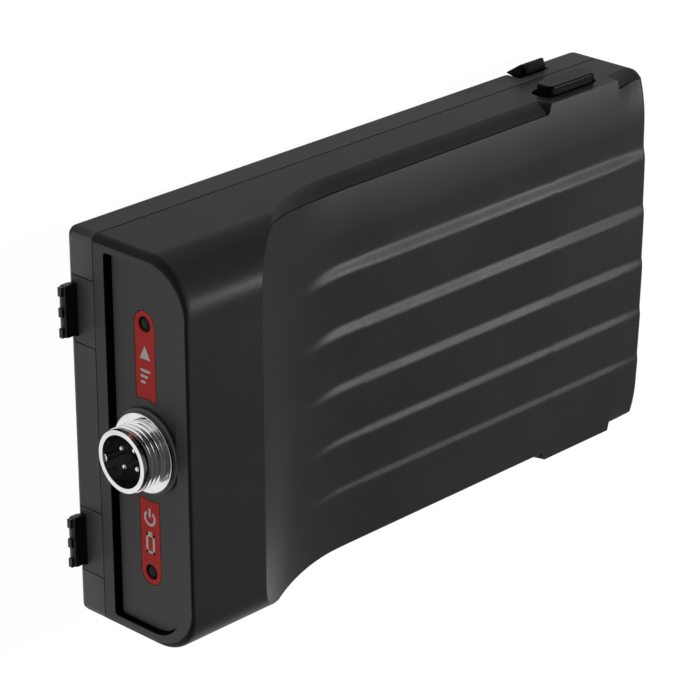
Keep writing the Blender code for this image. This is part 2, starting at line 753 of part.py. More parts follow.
def build_tongue(name, way):
    middle = way * TONGUE_Y
    half = TONGUE_LENGTH / 2.0
    base = TONGUE_BASE_LENGTH / 2.0
    plate = box(name, (START, middle - base, TONGUE_BASE_LOW),
                (START + TONGUE_BASE_DEPTH, middle + base, COVER_HIGH))
    root = box("root", (START - GAP - TONGUE_ROUND, middle - half, TONGUE_BASE_LOW),
               (START + TONGUE_BASE_DEPTH / 2.0, middle + half, TONGUE_HIGH))
    blade = box("blade", (START - TONGUE_REACH, middle - half, TONGUE_LOW),
                (START - GAP, middle + half, TONGUE_HIGH), TONGUE_ROUND)
    teeth = []
    tip = START - TONGUE_REACH
    for k in (-1, 0, 1):
        low = middle + k * TOOTH_PITCH - TOOTH_LENGTH / 2.0
        teeth.append(box("tooth", (tip - TOOTH_REACH, low, TONGUE_LOW + TOOTH_INSET),
                         (tip + TOOTH_REACH, low + TOOTH_LENGTH, TONGUE_HIGH - TOOTH_INSET)))
    paint(join(plate, root, blade, *teeth), GLOSS_FINISH)


def label_outline(way, margin):
    half = LABEL_WIDTH / 2.0 + margin
    inner = LABEL_INNER_RADIUS - margin
    drop = LABEL_Z - SOCKET_Z
    turn = [math.asin((drop + half * (1.0 - i / 3.0)) / inner) for i in range(7)]
    near = [(inner * math.cos(t), SOCKET_Z + inner * math.sin(t)) for t in turn]
    far = arc((LENS_Y, LABEL_Z), half, -math.pi / 2.0, math.pi / 2.0, 8)
    return [(way * y, z) for y, z in near + far]


def build_panel():
    panel = prism("end_panel", "X", recess_outline(GAP, PANEL_SLIT), PANEL_FACE, PANEL_BACK)
    near = PANEL_FACE - OVERRUN
    far = PANEL_BACK + OVERRUN
    tools = [rod("hole", "X", (0.0, SOCKET_Z), near, far, PANEL_HOLE_RADIUS, 28)]
    for way in (1.0, -1.0):
        deep = PANEL_FACE + LABEL_THICK + LABEL_FIT
        tools.append(prism("label", "X", label_outline(way, LABEL_FIT), near, deep))
        place = (way * LENS_Y, LABEL_Z)
        tools.append(rod("hole", "X", place, near, far, LENS_RADIUS + FIT, 16))
    paint(cut(panel, *tools), PANEL_FINISH)


def build_indicator(name, number, way):
    place = (way * LENS_Y, LABEL_Z)
    face = PANEL_FACE
    label = prism("label_" + name, "X", label_outline(way, 0.0), face, face + LABEL_THICK)
    hole = rod("hole", "X", place, face - OVERRUN, face + LABEL_THICK + OVERRUN, LENS_RADIUS + FIT, 16)
    paint(cut(label, hole), LABEL_FINISH)
    flange = PANEL_BACK + FIT
    back = flange + LENS_FLANGE_THICK
    tip = face + LENS_SINK
    profile = [(tip, 0.0), (tip + LENS_DOME * 0.3, LENS_RADIUS * 0.7), (tip + LENS_DOME, LENS_RADIUS)]
    profile += [(flange, LENS_RADIUS), (flange, LENS_FLANGE_RADIUS), (back, LENS_FLANGE_RADIUS), (back, 0.0)]
    paint(turned("lens_" + name, "X", place, profile, False, 16), LENS_FINISH)
    near = back + FIT
    paint(box("led_" + name, (near, place[0] - LED_HALF, place[1] - LED_HALF),
              (near + LED_THICK, place[0] + LED_HALF, place[1] + LED_HALF)), LED_FINISH)
    near = max(near + LED_THICK, LEDGE_BACK) + FIT
    ends = sorted((way * LED_BOARD_INNER, way * LED_BOARD_OUTER))
    far = near + BOARD_THICK
    board = box("led_board_" + name, (near, ends[0], LED_BOARD_LOW), (far, ends[1], LED_BOARD_HIGH))
    place = (way * LED_SCREW_Y, LABEL_Z)
    hole = rod("hole", "X", place, near - OVERRUN, far + OVERRUN, LED_SCREW_RADIUS + FIT, 10)
    paint(cut(board, hole), BOARD_FINISH)
    head = far + FIT
    tip = LEDGE_FACE + GAP
    top = head + LED_HEAD_THICK
    profile = [(tip, 0.0), (tip, LED_SCREW_RADIUS), (head, LED_SCREW_RADIUS), (head, LED_HEAD_RADIUS)]
    profile += [(top, LED_HEAD_RADIUS - HEAD_CHAMFER / 2.0), (top, 0.0)]
    paint(turned("led_screw_" + str(number), "X", place, profile, False, 10), STEEL_FINISH)


def turned_place(across, up):
    swing = math.cos(SOCKET_TURN)
    lift = math.sin(SOCKET_TURN)
    return (across * swing + up * lift, SOCKET_Z - across * lift + up * swing)


def build_socket():
    axis = (0.0, SOCKET_Z)
    flange_back = PANEL_FACE - GASKET_THICK - 2.0 * FIT
    flange = flange_back - FLANGE_THICK
    step = RIM_X + RIM_LENGTH
    edge = RIM_CHAMFER
    profile = [(RIM_X, BORE_RADIUS + edge), (RIM_X, RIM_RADIUS - edge), (RIM_X + edge, RIM_RADIUS)]
    profile += [(step, RIM_RADIUS), (step + 2.0 * edge, THREAD_RADIUS), (flange, THREAD_RADIUS)]
    profile += [(flange, FLANGE_RADIUS - edge), (flange + edge, FLANGE_RADIUS), (flange_back, FLANGE_RADIUS)]
    profile += [(flange_back, THREAD_RADIUS), (BARREL_END, THREAD_RADIUS), (BARREL_END, BORE_RADIUS)]
    profile += [(RIM_X + edge, BORE_RADIUS)]
    shell = turned("socket_shell", "X", axis, profile, True, 28)
    key = rod("key", "X", turned_place(0.0, -BORE_RADIUS - KEY_SINK), RIM_X + 2.0 * edge, INSERT_FACE - FIT,
              KEY_RADIUS, 12)
    paint(join(shell, key), CHROME_FINISH)

    insert = rod("socket_insert", "X", axis, INSERT_FACE, INSERT_END, BORE_RADIUS - FIT, 24)
    half = PIN_SPACING / 2.0
    corners = [(half, half), (-half, half), (-half, -half), (half, -half)]
    places = [turned_place(a, b) for a, b in corners]
    near = INSERT_FACE - OVERRUN
    far = INSERT_END + OVERRUN
    holes = [rod("hole", "X", place, near, far, PIN_RADIUS + FIT, 10) for place in places]
    paint(cut(insert, *holes), RUBBER_FINISH)
    tip = RIM_X + PIN_SINK
    for number, place in enumerate(places, 1):
        profile = [(tip, 0.0), (tip + PIN_RADIUS * 0.3, PIN_RADIUS * 0.7), (tip + PIN_RADIUS, PIN_RADIUS)]
        profile += [(PIN_END, PIN_RADIUS), (PIN_END, 0.0)]
        paint(turned("socket_pin_" + str(number), "X", place, profile, False, 10), BRASS_FINISH)

    def ring(name, low, high, radius, finish):
        hole = THREAD_RADIUS + FIT
        profile = [(low, hole), (low, radius), (high, radius), (high, hole)]
        paint(turned(name, "X", axis, profile, True, 28), finish)

    ring("socket_gasket", flange_back + FIT, flange_back + FIT + GASKET_THICK, GASKET_RADIUS, RUBBER_FINISH)
    washer = PANEL_BACK + FIT
    ring("socket_washer", washer, washer + WASHER_THICK, WASHER_RADIUS, STEEL_FINISH)
    near = washer + WASHER_THICK + FIT
    corner = NUT_FLATS / 2.0 / math.cos(math.pi / 6.0)
    hexagon = arc(axis, corner, 0.0, math.pi * 5.0 / 3.0, 5)
    far = near + NUT_THICK
    nut = prism("socket_nut", "X", hexagon, near, far)
    hole = rod("hole", "X", axis, near - OVERRUN, far + OVERRUN, THREAD_RADIUS + FIT, 28)
    paint(cut(nut, hole), STEEL_FINISH)


def build_latch(name, way):
    inner = INNER_SIDE - GAP - BRIDGE_THICK
    half = BRIDGE_LENGTH / 2.0
    bridge = box(name, (LATCH_X - half, inner, BRIDGE_LOW),
                 (LATCH_X + half, inner + BRIDGE_THICK, BUTTON_HIGH), BRIDGE_EDGE, 1)
    middle = inner + BRIDGE_THICK / 2.0
    button = prism("button", "Y", button_outline(0.0), middle, SIDE + BUTTON_REACH, BUTTON_RIM)
    tip = SIDE + NOSE_REACH
    wall = SIDE + NOSE_CLEAR
    arm = [(middle, BRIDGE_LOW), (wall - NOSE_STEP, BRIDGE_LOW), (wall, NOSE_FOOT), (wall + GAP, NOSE_FOOT)]
    arm += [(tip, NOSE_CATCH - NOSE_LAND), (tip, NOSE_CATCH), (wall, NOSE_CATCH)]
    arm += [(wall, NOSE_CATCH - NOSE_STEP), (middle, NOSE_CATCH - NOSE_STEP)]
    span = [NOSE_LENGTH / 2.0] * len(arm)
    span[4] = span[5] = NOSE_TIP_LENGTH / 2.0
    rings = []
    for sign in (-1.0, 1.0):
        rings.append([(NOSE_CENTRE + sign * half, y, z) for (y, z), half in zip(arm, span)])
    nose = loft("nose", rings)
    stub = rod("stub", "Y", (SPRING_Z, LATCH_X), inner - STUB_LENGTH, inner + 0.5, STUB_RADIUS, 12)
    latch = join(bridge, button, nose, stub)
    if way < 0.0:
        latch.data.transform(Matrix.Scale(-1.0, 4, (0.0, 1.0, 0.0)))
        tidy(latch.data)
    origin = (LATCH_X, way * SIDE, SPRING_Z)
    latch.data.transform(Matrix.Translation([-value for value in origin]))
    latch.location = origin
    paint(latch, GLOSS_FINISH)
    return inner


def build_spring(name, way, inner):
    first = SPRING_SEAT_Y + SPRING_WIRE
    last = inner - FIT - SPRING_WIRE
    radius = SPRING_RADIUS - SPRING_WIRE
    count = SPRING_TURNS * 10
    points = []
    for i in range(count + 1):
        turn = 2.0 * math.pi * SPRING_TURNS * i / count
        place = first + (last - first) * i / count
        points.append((LATCH_X + radius * math.cos(turn), way * place, SPRING_Z + radius * math.sin(turn)))
    print(name, "least gap between turns", round((last - first) / SPRING_TURNS - 2.0 * SPRING_WIRE, 3), "mm")
    paint(tube(name, points, SPRING_WIRE), STEEL_FINISH)


def build_screws():
    for number, place in enumerate(COVER_SCREWS, 1):
        seat = COVER_HEAD_SINK + COVER_HEAD_THICK
        end = seat + COVER_SCREW_LENGTH
        edge = HEAD_CHAMFER
        profile = [(COVER_HEAD_SINK, 0.0), (COVER_HEAD_SINK, COVER_HEAD_RADIUS - edge)]
        profile += [(COVER_HEAD_SINK + edge, COVER_HEAD_RADIUS), (seat, COVER_HEAD_RADIUS)]
        profile += [(seat, COVER_SCREW_RADIUS), (end - SCREW_POINT, COVER_SCREW_RADIUS), (end, 0.0)]
        paint(turned("cover_screw_" + str(number), "Z", place, profile, False, 12), STEEL_FINISH)
    for number, place in enumerate(BOARD_SCREWS, 1):
        head = BOARD_HIGH + FIT
        top = head + BOARD_HEAD_THICK
        tip = FLOOR + GAP
        profile = [(tip, 0.0), (tip, BOARD_SCREW_RADIUS), (head, BOARD_SCREW_RADIUS)]
        profile += [(head, BOARD_HEAD_RADIUS), (top, BOARD_HEAD_RADIUS - HEAD_CHAMFER), (top, 0.0)]
        paint(turned("board_screw_" + str(number), "Z", place, profile, False, 12), STEEL_FINISH)


def build_inside():
    board = box("main_board", (BOARD_START, -BOARD_HALF, BOARD_LOW), (BOARD_END, BOARD_HALF, BOARD_HIGH))
    low = BOARD_LOW - OVERRUN
    high = BOARD_HIGH + OVERRUN
    radius = BOARD_SCREW_RADIUS + FIT
    holes = [rod("hole", "Z", place, low, high, radius, 10) for place in BOARD_SCREWS]
    paint(cut(board, *holes), BOARD_FINISH)
    top = BOARD_HIGH + FIT
    long, wide, tall = HEADER_SIZE
    paint(box("ribbon_header", (HEADER_X - long / 2.0, -wide / 2.0, top),
              (HEADER_X + long / 2.0, wide / 2.0, top + tall)), RUBBER_FINISH)
    low = top + tall + FIT
    near = PIN_END + GAP
    half = RIBBON_THICK / 2.0
    bend = HEADER_X - near - half
    outer = arc((near, SOCKET_Z + half - bend - RIBBON_THICK), bend + RIBBON_THICK, math.pi / 2.0, 0.0, 6)
    inner = arc((near, SOCKET_Z - half - bend), bend, 0.0, math.pi / 2.0, 6)
    outline = outer + [(HEADER_X + half, low), (HEADER_X - half, low)] + inner
    paint(prism("socket_ribbon", "Y", [(z, x) for x, z in outline], -RIBBON_HALF, RIBBON_HALF), LEAD_FINISH)
    long, wide, tall = SHIELD_SIZE
    paint(box("radio_shield", (SHIELD_X - long / 2.0, SHIELD_Y - wide / 2.0, top),
              (SHIELD_X + long / 2.0, SHIELD_Y + wide / 2.0, top + tall), SHIELD_EDGE, 1), STEEL_FINISH)
    paint(box("battery_pack", (BATTERY_START, -BATTERY_HALF, BATTERY_LOW),
              (BATTERY_END, BATTERY_HALF, BATTERY_HIGH), BATTERY_ROUND), BATTERY_FINISH)
    low = BATTERY_HIGH + FIT
    paint(box("battery_pad", (PAD_FIRST, -BATTERY_HALF + PAD_MARGIN, low),
              (BATTERY_END - PAD_MARGIN, BATTERY_HALF - PAD_MARGIN, TAIL_FRONT - WALL - GAP)), FOAM_FINISH)
    middle = (BATTERY_LOW + BATTERY_HIGH) / 2.0
    foot = BATTERY_END + LEAD_BEND
    points = [(BATTERY_END + FIT, 0.0, middle), (BATTERY_END + LEAD_BEND / 2.0, 0.0, middle)]
    points += [(foot, 0.0, middle), (foot, 0.0, (middle + top) / 2.0), (foot, 0.0, top)]
    paint(tube("battery_lead", points, LEAD_RADIUS, True), LEAD_FINISH)
    paint(box("antenna", (ANTENNA_START, -ANTENNA_HALF, ANTENNA_LOW),
              (ANTENNA_END, ANTENNA_HALF, ANTENNA_LOW + ANTENNA_THICK)), BOARD_FINISH)
    run = top + LEAD_RADIUS
    first = SHIELD_X + SHIELD_SIZE[0] / 2.0 + FIT
    high = ANTENNA_LOW + ANTENNA_THICK + FIT + LEAD_RADIUS
    last = ANTENNA_START + LEAD_BEND
    path = [(first, run), (first + LEAD_BEND, run), (BOARD_END - LEAD_BEND, run)]
    path += [(BOARD_END, high), (last, high)]
    points = [(x, SHIELD_Y, z) for x, z in path]
    paint(tube("antenna_lead", points, LEAD_RADIUS, True), COAX_FINISH)


build_shell()
build_cover()
build_panel()
build_socket()
build_screws()
build_inside()
for number, (name, way) in enumerate((("upper", 1.0), ("lower", -1.0)), 1):
    build_indicator(name, number, way)
    build_tongue("tongue_" + name, way)
    seat = build_latch("latch_" + name, way)
    build_spring("latch_spring_" + name, way, seat)

for made in parts.objects:
    made.data.transform(Matrix.Scale(0.001, 4))
    made.location = made.location * 0.001
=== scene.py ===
import math
import bpy
from mathutils import Matrix, Vector


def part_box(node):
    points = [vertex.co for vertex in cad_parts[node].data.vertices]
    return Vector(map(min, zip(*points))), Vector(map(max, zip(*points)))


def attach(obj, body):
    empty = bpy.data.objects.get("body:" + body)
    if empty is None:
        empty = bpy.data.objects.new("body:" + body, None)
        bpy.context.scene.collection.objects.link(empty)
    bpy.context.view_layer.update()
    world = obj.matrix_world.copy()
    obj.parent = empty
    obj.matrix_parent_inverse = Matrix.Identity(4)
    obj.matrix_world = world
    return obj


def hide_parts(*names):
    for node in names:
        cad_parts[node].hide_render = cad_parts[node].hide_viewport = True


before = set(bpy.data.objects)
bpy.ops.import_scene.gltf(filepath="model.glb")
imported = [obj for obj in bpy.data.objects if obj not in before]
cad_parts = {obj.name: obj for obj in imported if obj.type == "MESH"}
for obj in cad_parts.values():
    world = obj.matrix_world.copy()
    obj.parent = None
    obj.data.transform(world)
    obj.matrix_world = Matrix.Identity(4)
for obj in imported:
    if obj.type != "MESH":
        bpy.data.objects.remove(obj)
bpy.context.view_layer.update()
scene = bpy.context.scene

# Pieces are shaped in millimetres and brought to metres when they are finished.
toMetres = Matrix.Scale(0.001, 4)
toMillimetres = Matrix.Scale(1000.0, 4)


# small tools

def deselectAll():
    if bpy.context.object and bpy.context.object.mode != "OBJECT":
        bpy.ops.object.mode_set(mode="OBJECT")
    bpy.ops.object.select_all(action="DESELECT")


def makeActive(obj):
    deselectAll()
    obj.select_set(True)
    bpy.context.view_layer.objects.active = obj


def named(name):
    obj = bpy.context.object
    obj.name = name
    obj.data.name = name
    return obj


def settleMesh(obj):
    # place, turn and size go into the mesh
    obj.data.transform(obj.matrix_basis)
    obj.matrix_basis = Matrix.Identity(4)
    return obj


def applyModifier(obj, modifier):
    makeActive(obj)
    bpy.ops.object.modifier_apply(modifier=modifier.name)


def boolean(obj, tool, operation):
    step = obj.modifiers.new(operation.lower(), "BOOLEAN")
    step.operation = operation
    step.solver = "EXACT"
    step.object = tool
    applyModifier(obj, step)
    bpy.data.objects.remove(tool)
    return obj


def pick(obj, kind, test):
    # enters edit mode with the vertices, edges or faces for which the test holds
    makeActive(obj)
    bpy.ops.object.mode_set(mode="EDIT")
    bpy.ops.mesh.select_mode(type=kind)
    bpy.ops.mesh.select_all(action="DESELECT")
    bpy.ops.object.mode_set(mode="OBJECT")
    mesh = obj.data
    group = {"VERT": mesh.vertices, "EDGE": mesh.edges, "FACE": mesh.polygons}[kind]
    count = 0
    for item in group:
        item.select = bool(test(item))
        count += item.select
    bpy.ops.object.mode_set(mode="EDIT")
    return count


def leaveEdit():
    bpy.ops.object.mode_set(mode="OBJECT")


def mergeAndTurnOut(obj, distance=0.0004):
    makeActive(obj)
    bpy.ops.object.mode_set(mode="EDIT")
    bpy.ops.mesh.select_all(action="SELECT")
    bpy.ops.mesh.remove_doubles(threshold=distance)
    bpy.ops.mesh.normals_make_consistent(inside=False)
    leaveEdit()
    return obj


def smoothShade(obj, angle):
    # flat faces keep their shading flat beside rounded edges
    makeActive(obj)
    bpy.ops.object.shade_smooth_by_angle(angle=math.radians(angle))
    step = obj.modifiers.new("faceWeight", "WEIGHTED_NORMAL")
    step.keep_sharp = True
    step.weight = 80
    applyModifier(obj, step)
    return obj


def addBox(name, low, high):
    deselectAll()
    centre = [(a + b) / 2.0 for a, b in zip(low, high)]
    bpy.ops.mesh.primitive_cube_add(size=1.0, location=centre, scale=[b - a for a, b in zip(low, high)])
    return settleMesh(named(name))


def addRod(name, axis, across, low, high, radius, sides=48):
    deselectAll()
    bpy.ops.mesh.primitive_cylinder_add(vertices=sides, radius=radius, depth=high - low)
    rod = settleMesh(named(name))
    rod.data.transform(Matrix.Translation((across[0], across[1], (low + high) / 2.0)))
    rod.data.transform(axisTurn[axis])
    return rod


axisTurn = {
    "X": Matrix(((0, 0, 1, 0), (1, 0, 0, 0), (0, 1, 0, 0), (0, 0, 0, 1))),
    "Y": Matrix(((0, 1, 0, 0), (0, 0, 1, 0), (1, 0, 0, 0), (0, 0, 0, 1))),
    "Z": Matrix.Identity(4),
}


def arcPoints(centre, radius, first, last, steps):
    turn = [first + (last - first) * i / steps for i in range(steps + 1)]
    return [(centre[0] + radius * math.cos(t), centre[1] + radius * math.sin(t)) for t in turn]


def roundRect(low, high, rounds, steps=8):
    quarter = math.pi / 2.0
    corners = ((high[0], high[1]), (low[0], high[1]), (low[0], low[1]), (high[0], low[1]))
    signs = ((-1, -1), (1, -1), (1, 1), (-1, 1))
    ring = []
    for turn, ((a, b), (da, db), radius) in enumerate(zip(corners, signs, rounds)):
        centre = (a + da * radius, b + db * radius)
        ring += arcPoints(centre, radius, turn * quarter, (turn + 1) * quarter, steps)
    return ring


def addPlate(name, axis, outline, low, high, flare=0.0):
    # an outline is filled and pulled up; a flare opens its lower end, for a rounded mouth
    deselectAll()
    bpy.ops.mesh.primitive_circle_add(vertices=len(outline), fill_type="NGON")
    plate = settleMesh(named(name))
    for vertex, (a, b) in zip(plate.data.vertices, outline):
        vertex.co = (a, b, high)
    makeActive(plate)
    bpy.ops.object.mode_set(mode="EDIT")
    bpy.ops.mesh.select_all(action="SELECT")
    if flare:
        straight = low + 2.0 * flare
        bpy.ops.mesh.extrude_region_move(TRANSFORM_OT_translate={"value": (0.0, 0.0, straight - high)})
        spans = [max(v[i] for v in outline) - min(v[i] for v in outline) for i in (0, 1)]
        middle = [(max(v[i] for v in outline) + min(v[i] for v in outline)) / 2.0 for i in (0, 1)]
        for drop, grow in ((0.6, 0.12), (0.7, 0.5), (0.7, 1.4)):
            bpy.ops.mesh.extrude_region_move(TRANSFORM_OT_translate={"value": (0.0, 0.0, -drop * flare)})
            scale = [1.0 + 2.0 * grow * flare / span for span in spans] + [1.0]
            bpy.ops.transform.resize(value=scale, center_override=(middle[0], middle[1], straight))
            spans = [span * size for span, size in zip(spans, scale)]
    else:
        bpy.ops.mesh.extrude_region_move(TRANSFORM_OT_translate={"value": (0.0, 0.0, low - high)})
    bpy.ops.mesh.select_all(action="SELECT")
    bpy.ops.mesh.normals_make_consistent(inside=False)
    leaveEdit()
    plate.data.transform(axisTurn[axis])
    return plate


def addTurned(name, axis, across, profile, steps=96):
    # a profile of (place, radius) points is spun round its axis
    deselectAll()
    bpy.ops.mesh.primitive_circle_add(vertices=len(profile), fill_type="NOTHING")
    turned = settleMesh(named(name))
    for vertex, (place, radius) in zip(turned.data.vertices, profile):
        vertex.co = (radius, 0.0, place)
    makeActive(turned)
    bpy.ops.object.mode_set(mode="EDIT")
    bpy.ops.mesh.select_all(action="SELECT")
    bpy.ops.mesh.spin(steps=steps, angle=2.0 * math.pi, center=(0.0, 0.0, 0.0), axis=(0.0, 0.0, 1.0))
    leaveEdit()
    mergeAndTurnOut(turned)
    turned.data.transform(Matrix.Translation((across[0], across[1], 0.0)))
    turned.data.transform(axisTurn[axis])
    return turned


def addSkin(name, rows):
    # a grid laid over rows of points, closed at both ends
    deselectAll()
    count, around = len(rows), len(rows[0])
    bpy.ops.mesh.primitive_grid_add(x_subdivisions=around, y_subdivisions=count - 1, size=2.0)
    skin = settleMesh(named(name))
    for vertex in skin.data.vertices:
        i = round((vertex.co.x + 1.0) / 2.0 * around)
        j = round((vertex.co.y + 1.0) / 2.0 * (count - 1))
        vertex.co = rows[j][i % around]
    mergeAndTurnOut(skin)
    makeActive(skin)
    bpy.ops.object.mode_set(mode="EDIT")
    bpy.ops.mesh.select_mode(type="EDGE")
    bpy.ops.mesh.select_all(action="DESELECT")
    bpy.ops.mesh.select_non_manifold(extend=False, use_wire=False, use_boundary=True, use_multi_face=False,
                                     use_non_contiguous=False, use_verts=False)
    bpy.ops.mesh.edge_face_add()
    bpy.ops.mesh.select_all(action="SELECT")
    bpy.ops.mesh.normals_make_consistent(inside=False)
    leaveEdit()
    return skin


def copySolid(node, name):
    # the solid's own shape, merged, with its flat faces made whole
    deselectAll()
    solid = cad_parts[node]
    mesh = solid.data.copy()
    mesh.transform(solid.matrix_world)
    mesh.transform(toMillimetres)
    obj = bpy.data.objects.new(name, mesh)
    scene.collection.objects.link(obj)
    obj.data.name = name
    obj.data.materials.clear()
    makeActive(obj)
    bpy.ops.object.mode_set(mode="EDIT")
    bpy.ops.mesh.select_all(action="SELECT")
    bpy.ops.mesh.remove_doubles(threshold=0.0008)
    bpy.ops.mesh.dissolve_limited(angle_limit=math.radians(0.6))
    leaveEdit()
    return obj


def sharpEdges(obj, least):
    # the edges whose two faces turn by more than the least angle
    mesh = obj.data
    faces = {}
    for face in mesh.polygons:
        for key in face.edge_keys:
            faces.setdefault(key, []).append(face.normal.copy())
    keep = set()
    for key, normals in faces.items():
        if len(normals) == 2 and normals[0].angle(normals[1], 0.0) > math.radians(least):
            keep.add(key)
    return keep


def bevelEdges(obj, width, segments, least=40.0, test=None):
    keep = sharpEdges(obj, least)
    points = [vertex.co.copy() for vertex in obj.data.vertices]

    def wanted(edge):
        key = tuple(sorted(edge.vertices))
        return key in keep and (test is None or test(points[key[0]], points[key[1]]))

    count = pick(obj, "EDGE", wanted)
    if count:
        bpy.ops.mesh.bevel(offset=width, segments=segments, profile=0.5, affect="EDGES", clamp_overlap=True)
    leaveEdit()
    return count


def finishPiece(obj, body, slotName, material, *nodes):
    obj.data.transform(toMetres)
    obj.data.materials.clear()
    obj.data.materials.append(material)
    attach(obj, body)
    if nodes:
        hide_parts(*nodes)
    return obj


def addFinish(obj, material, test):
    # the faces for which the test holds take another finish
    obj.data.materials.append(material)
    for face in obj.data.polygons:
        if test(face):
            face.material_index = len(obj.data.materials) - 1
    return obj


endFacing = -0.96   # faces that look straight out of the socket end


def atSocketEnd(face):
    return face.normal.x < endFacing


# finishes

def newGroup(name, inputs, outputs):
    group = bpy.data.node_groups.new(name, "ShaderNodeTree")
    for label, value in inputs:
        socket = group.interface.new_socket(name=label, in_out="INPUT", socket_type="NodeSocketFloat")
        socket.default_value = value
    for label in outputs:
        group.interface.new_socket(name=label, in_out="OUTPUT", socket_type="NodeSocketFloat")
    return group, group.nodes.new("NodeGroupInput"), group.nodes.new("NodeGroupOutput")


def addMath(tree, operation, first, second, clamp=False):
    node = tree.nodes.new("ShaderNodeMath")
    node.operation = operation
    node.use_clamp = clamp
    for socket, value in zip(node.inputs, (first, second)):
        if hasattr(value, "is_output"):
            tree.links.new(value, socket)
        else:
            socket.default_value = value
    return node.outputs[0]


def addRange(tree, value, fromLow, fromHigh, toLow, toHigh):
    node = tree.nodes.new("ShaderNodeMapRange")
    tree.links.new(value, node.inputs["Value"])
    node.inputs["From Min"].default_value = fromLow
    node.inputs["From Max"].default_value = fromHigh
    node.inputs["To Min"].default_value = toLow
    node.inputs["To Max"].default_value = toHigh
    return node.outputs["Result"]


def addNoise(tree, vector, scale, detail, roughness=0.5):
    node = tree.nodes.new("ShaderNodeTexNoise")
    tree.links.new(vector, node.inputs["Vector"])
    if hasattr(scale, "is_output"):
        tree.links.new(scale, node.inputs["Scale"])
    else:
        node.inputs["Scale"].default_value = scale
    node.inputs["Detail"].default_value = detail
    node.inputs["Roughness"].default_value = roughness
    return node.outputs["Fac"]


def makeMouldGrain():
    # the fine spark-eroded skin of a moulding, with faint blotches and a few specks of dust
    inputs = [("Grain", 3600.0), ("Blotch", 38.0)]
    group, given, out = newGroup("mouldGrain", inputs, ["Height", "Blotch", "Dust"])
    place = group.nodes.new("ShaderNodeTexCoord").outputs["Object"]
    fine = addNoise(group, place, given.outputs["Grain"], 3.0, 0.62)
    coarse = addNoise(group, place, addMath(group, "MULTIPLY", given.outputs["Grain"], 0.34), 2.0)
    fine = addMath(group, "MULTIPLY", fine, 0.65)
    height = addMath(group, "ADD", fine, addMath(group, "MULTIPLY", coarse, 0.35))
    blotch = addNoise(group, place, given.outputs["Blotch"], 5.0, 0.6)
    specks = group.nodes.new("ShaderNodeTexVoronoi")
    group.links.new(place, specks.inputs["Vector"])
    specks.inputs["Scale"].default_value = 420.0
    near = addRange(group, specks.outputs["Distance"], 0.03, 0.07, 1.0, 0.0)
    few = addRange(group, addNoise(group, place, 160.0, 2.0), 0.58, 0.72, 0.0, 1.0)
    group.links.new(height, out.inputs["Height"])
    group.links.new(addRange(group, blotch, 0.3, 0.7, 0.0, 1.0), out.inputs["Blotch"])
    group.links.new(addMath(group, "MULTIPLY", near, few, True), out.inputs["Dust"])
    return group


def makeEdgeWearAndSheen():
    # a mask that is strongest on outer edges, broken up by noise; the colour mixed in there is partly wear and
    # partly a painted edge highlight
    group, given, out = newGroup("edgeWearAndSheen", [("Radius", 0.0004), ("Gain", 2.0)], ["Mask"])
    place = group.nodes.new("ShaderNodeTexCoord").outputs["Object"]
    bevel = group.nodes.new("ShaderNodeBevel")
    bevel.samples = 4
    group.links.new(given.outputs["Radius"], bevel.inputs["Radius"])
    own = group.nodes.new("ShaderNodeNewGeometry").outputs["Normal"]
    dot = group.nodes.new("ShaderNodeVectorMath")
    dot.operation = "DOT_PRODUCT"
    group.links.new(bevel.outputs["Normal"], dot.inputs[0])
    group.links.new(own, dot.inputs[1])
    turn = addMath(group, "SUBTRACT", 1.0, dot.outputs["Value"], True)
    broken = addRange(group, addNoise(group, place, 900.0, 4.0, 0.7), 0.35, 0.7, 0.15, 1.0)
    mask = addMath(group, "MULTIPLY", addMath(group, "MULTIPLY", turn, given.outputs["Gain"]), broken, True)
    group.links.new(mask, out.inputs["Mask"])
    return group


def makeTurningMarks():
    # fine rings left by a lathe round the X axis, and a cloudy bloom
    group, given, out = newGroup("turningMarks", [("Rings", 9000.0), ("Bloom", 260.0)], ["Height", "Bloom"])
    place = group.nodes.new("ShaderNodeTexCoord").outputs["Object"]
    split = group.nodes.new("ShaderNodeSeparateXYZ")
    group.links.new(place, split.inputs[0])
    join = group.nodes.new("ShaderNodeCombineXYZ")
    group.links.new(split.outputs["X"], join.inputs["X"])
    rings = addNoise(group, join.outputs[0], given.outputs["Rings"], 2.0)
    group.links.new(rings, out.inputs["Height"])
    bloom = addNoise(group, place, given.outputs["Bloom"], 4.0, 0.6)
    group.links.new(addRange(group, bloom, 0.3, 0.7, 0.0, 1.0), out.inputs["Bloom"])
    return group


def useGroup(tree, group, values):
    node = tree.nodes.new("ShaderNodeGroup")
    node.node_tree = group
    for label, value in values.items():
        node.inputs[label].default_value = value
    return node


def mixColours(tree, factor, first, second):
    node = tree.nodes.new("ShaderNodeMix")
    node.data_type = "RGBA"
    tree.links.new(factor, node.inputs["Factor"])
    for socket, value in ((node.inputs[6], first), (node.inputs[7], second)):
        if hasattr(value, "is_output"):
            tree.links.new(value, socket)
        else:
            socket.default_value = (*value, 1.0)
    return node.outputs[2]


def newFinish(name, fixed):
    material = bpy.data.materials.new(name)
    material.use_nodes = True
    shader = material.node_tree.nodes["Principled BSDF"]
    for label, value in fixed.items():
        shader.inputs[label].default_value = value
    return material, material.node_tree, shader


dustGrey = (0.16, 0.16, 0.16)


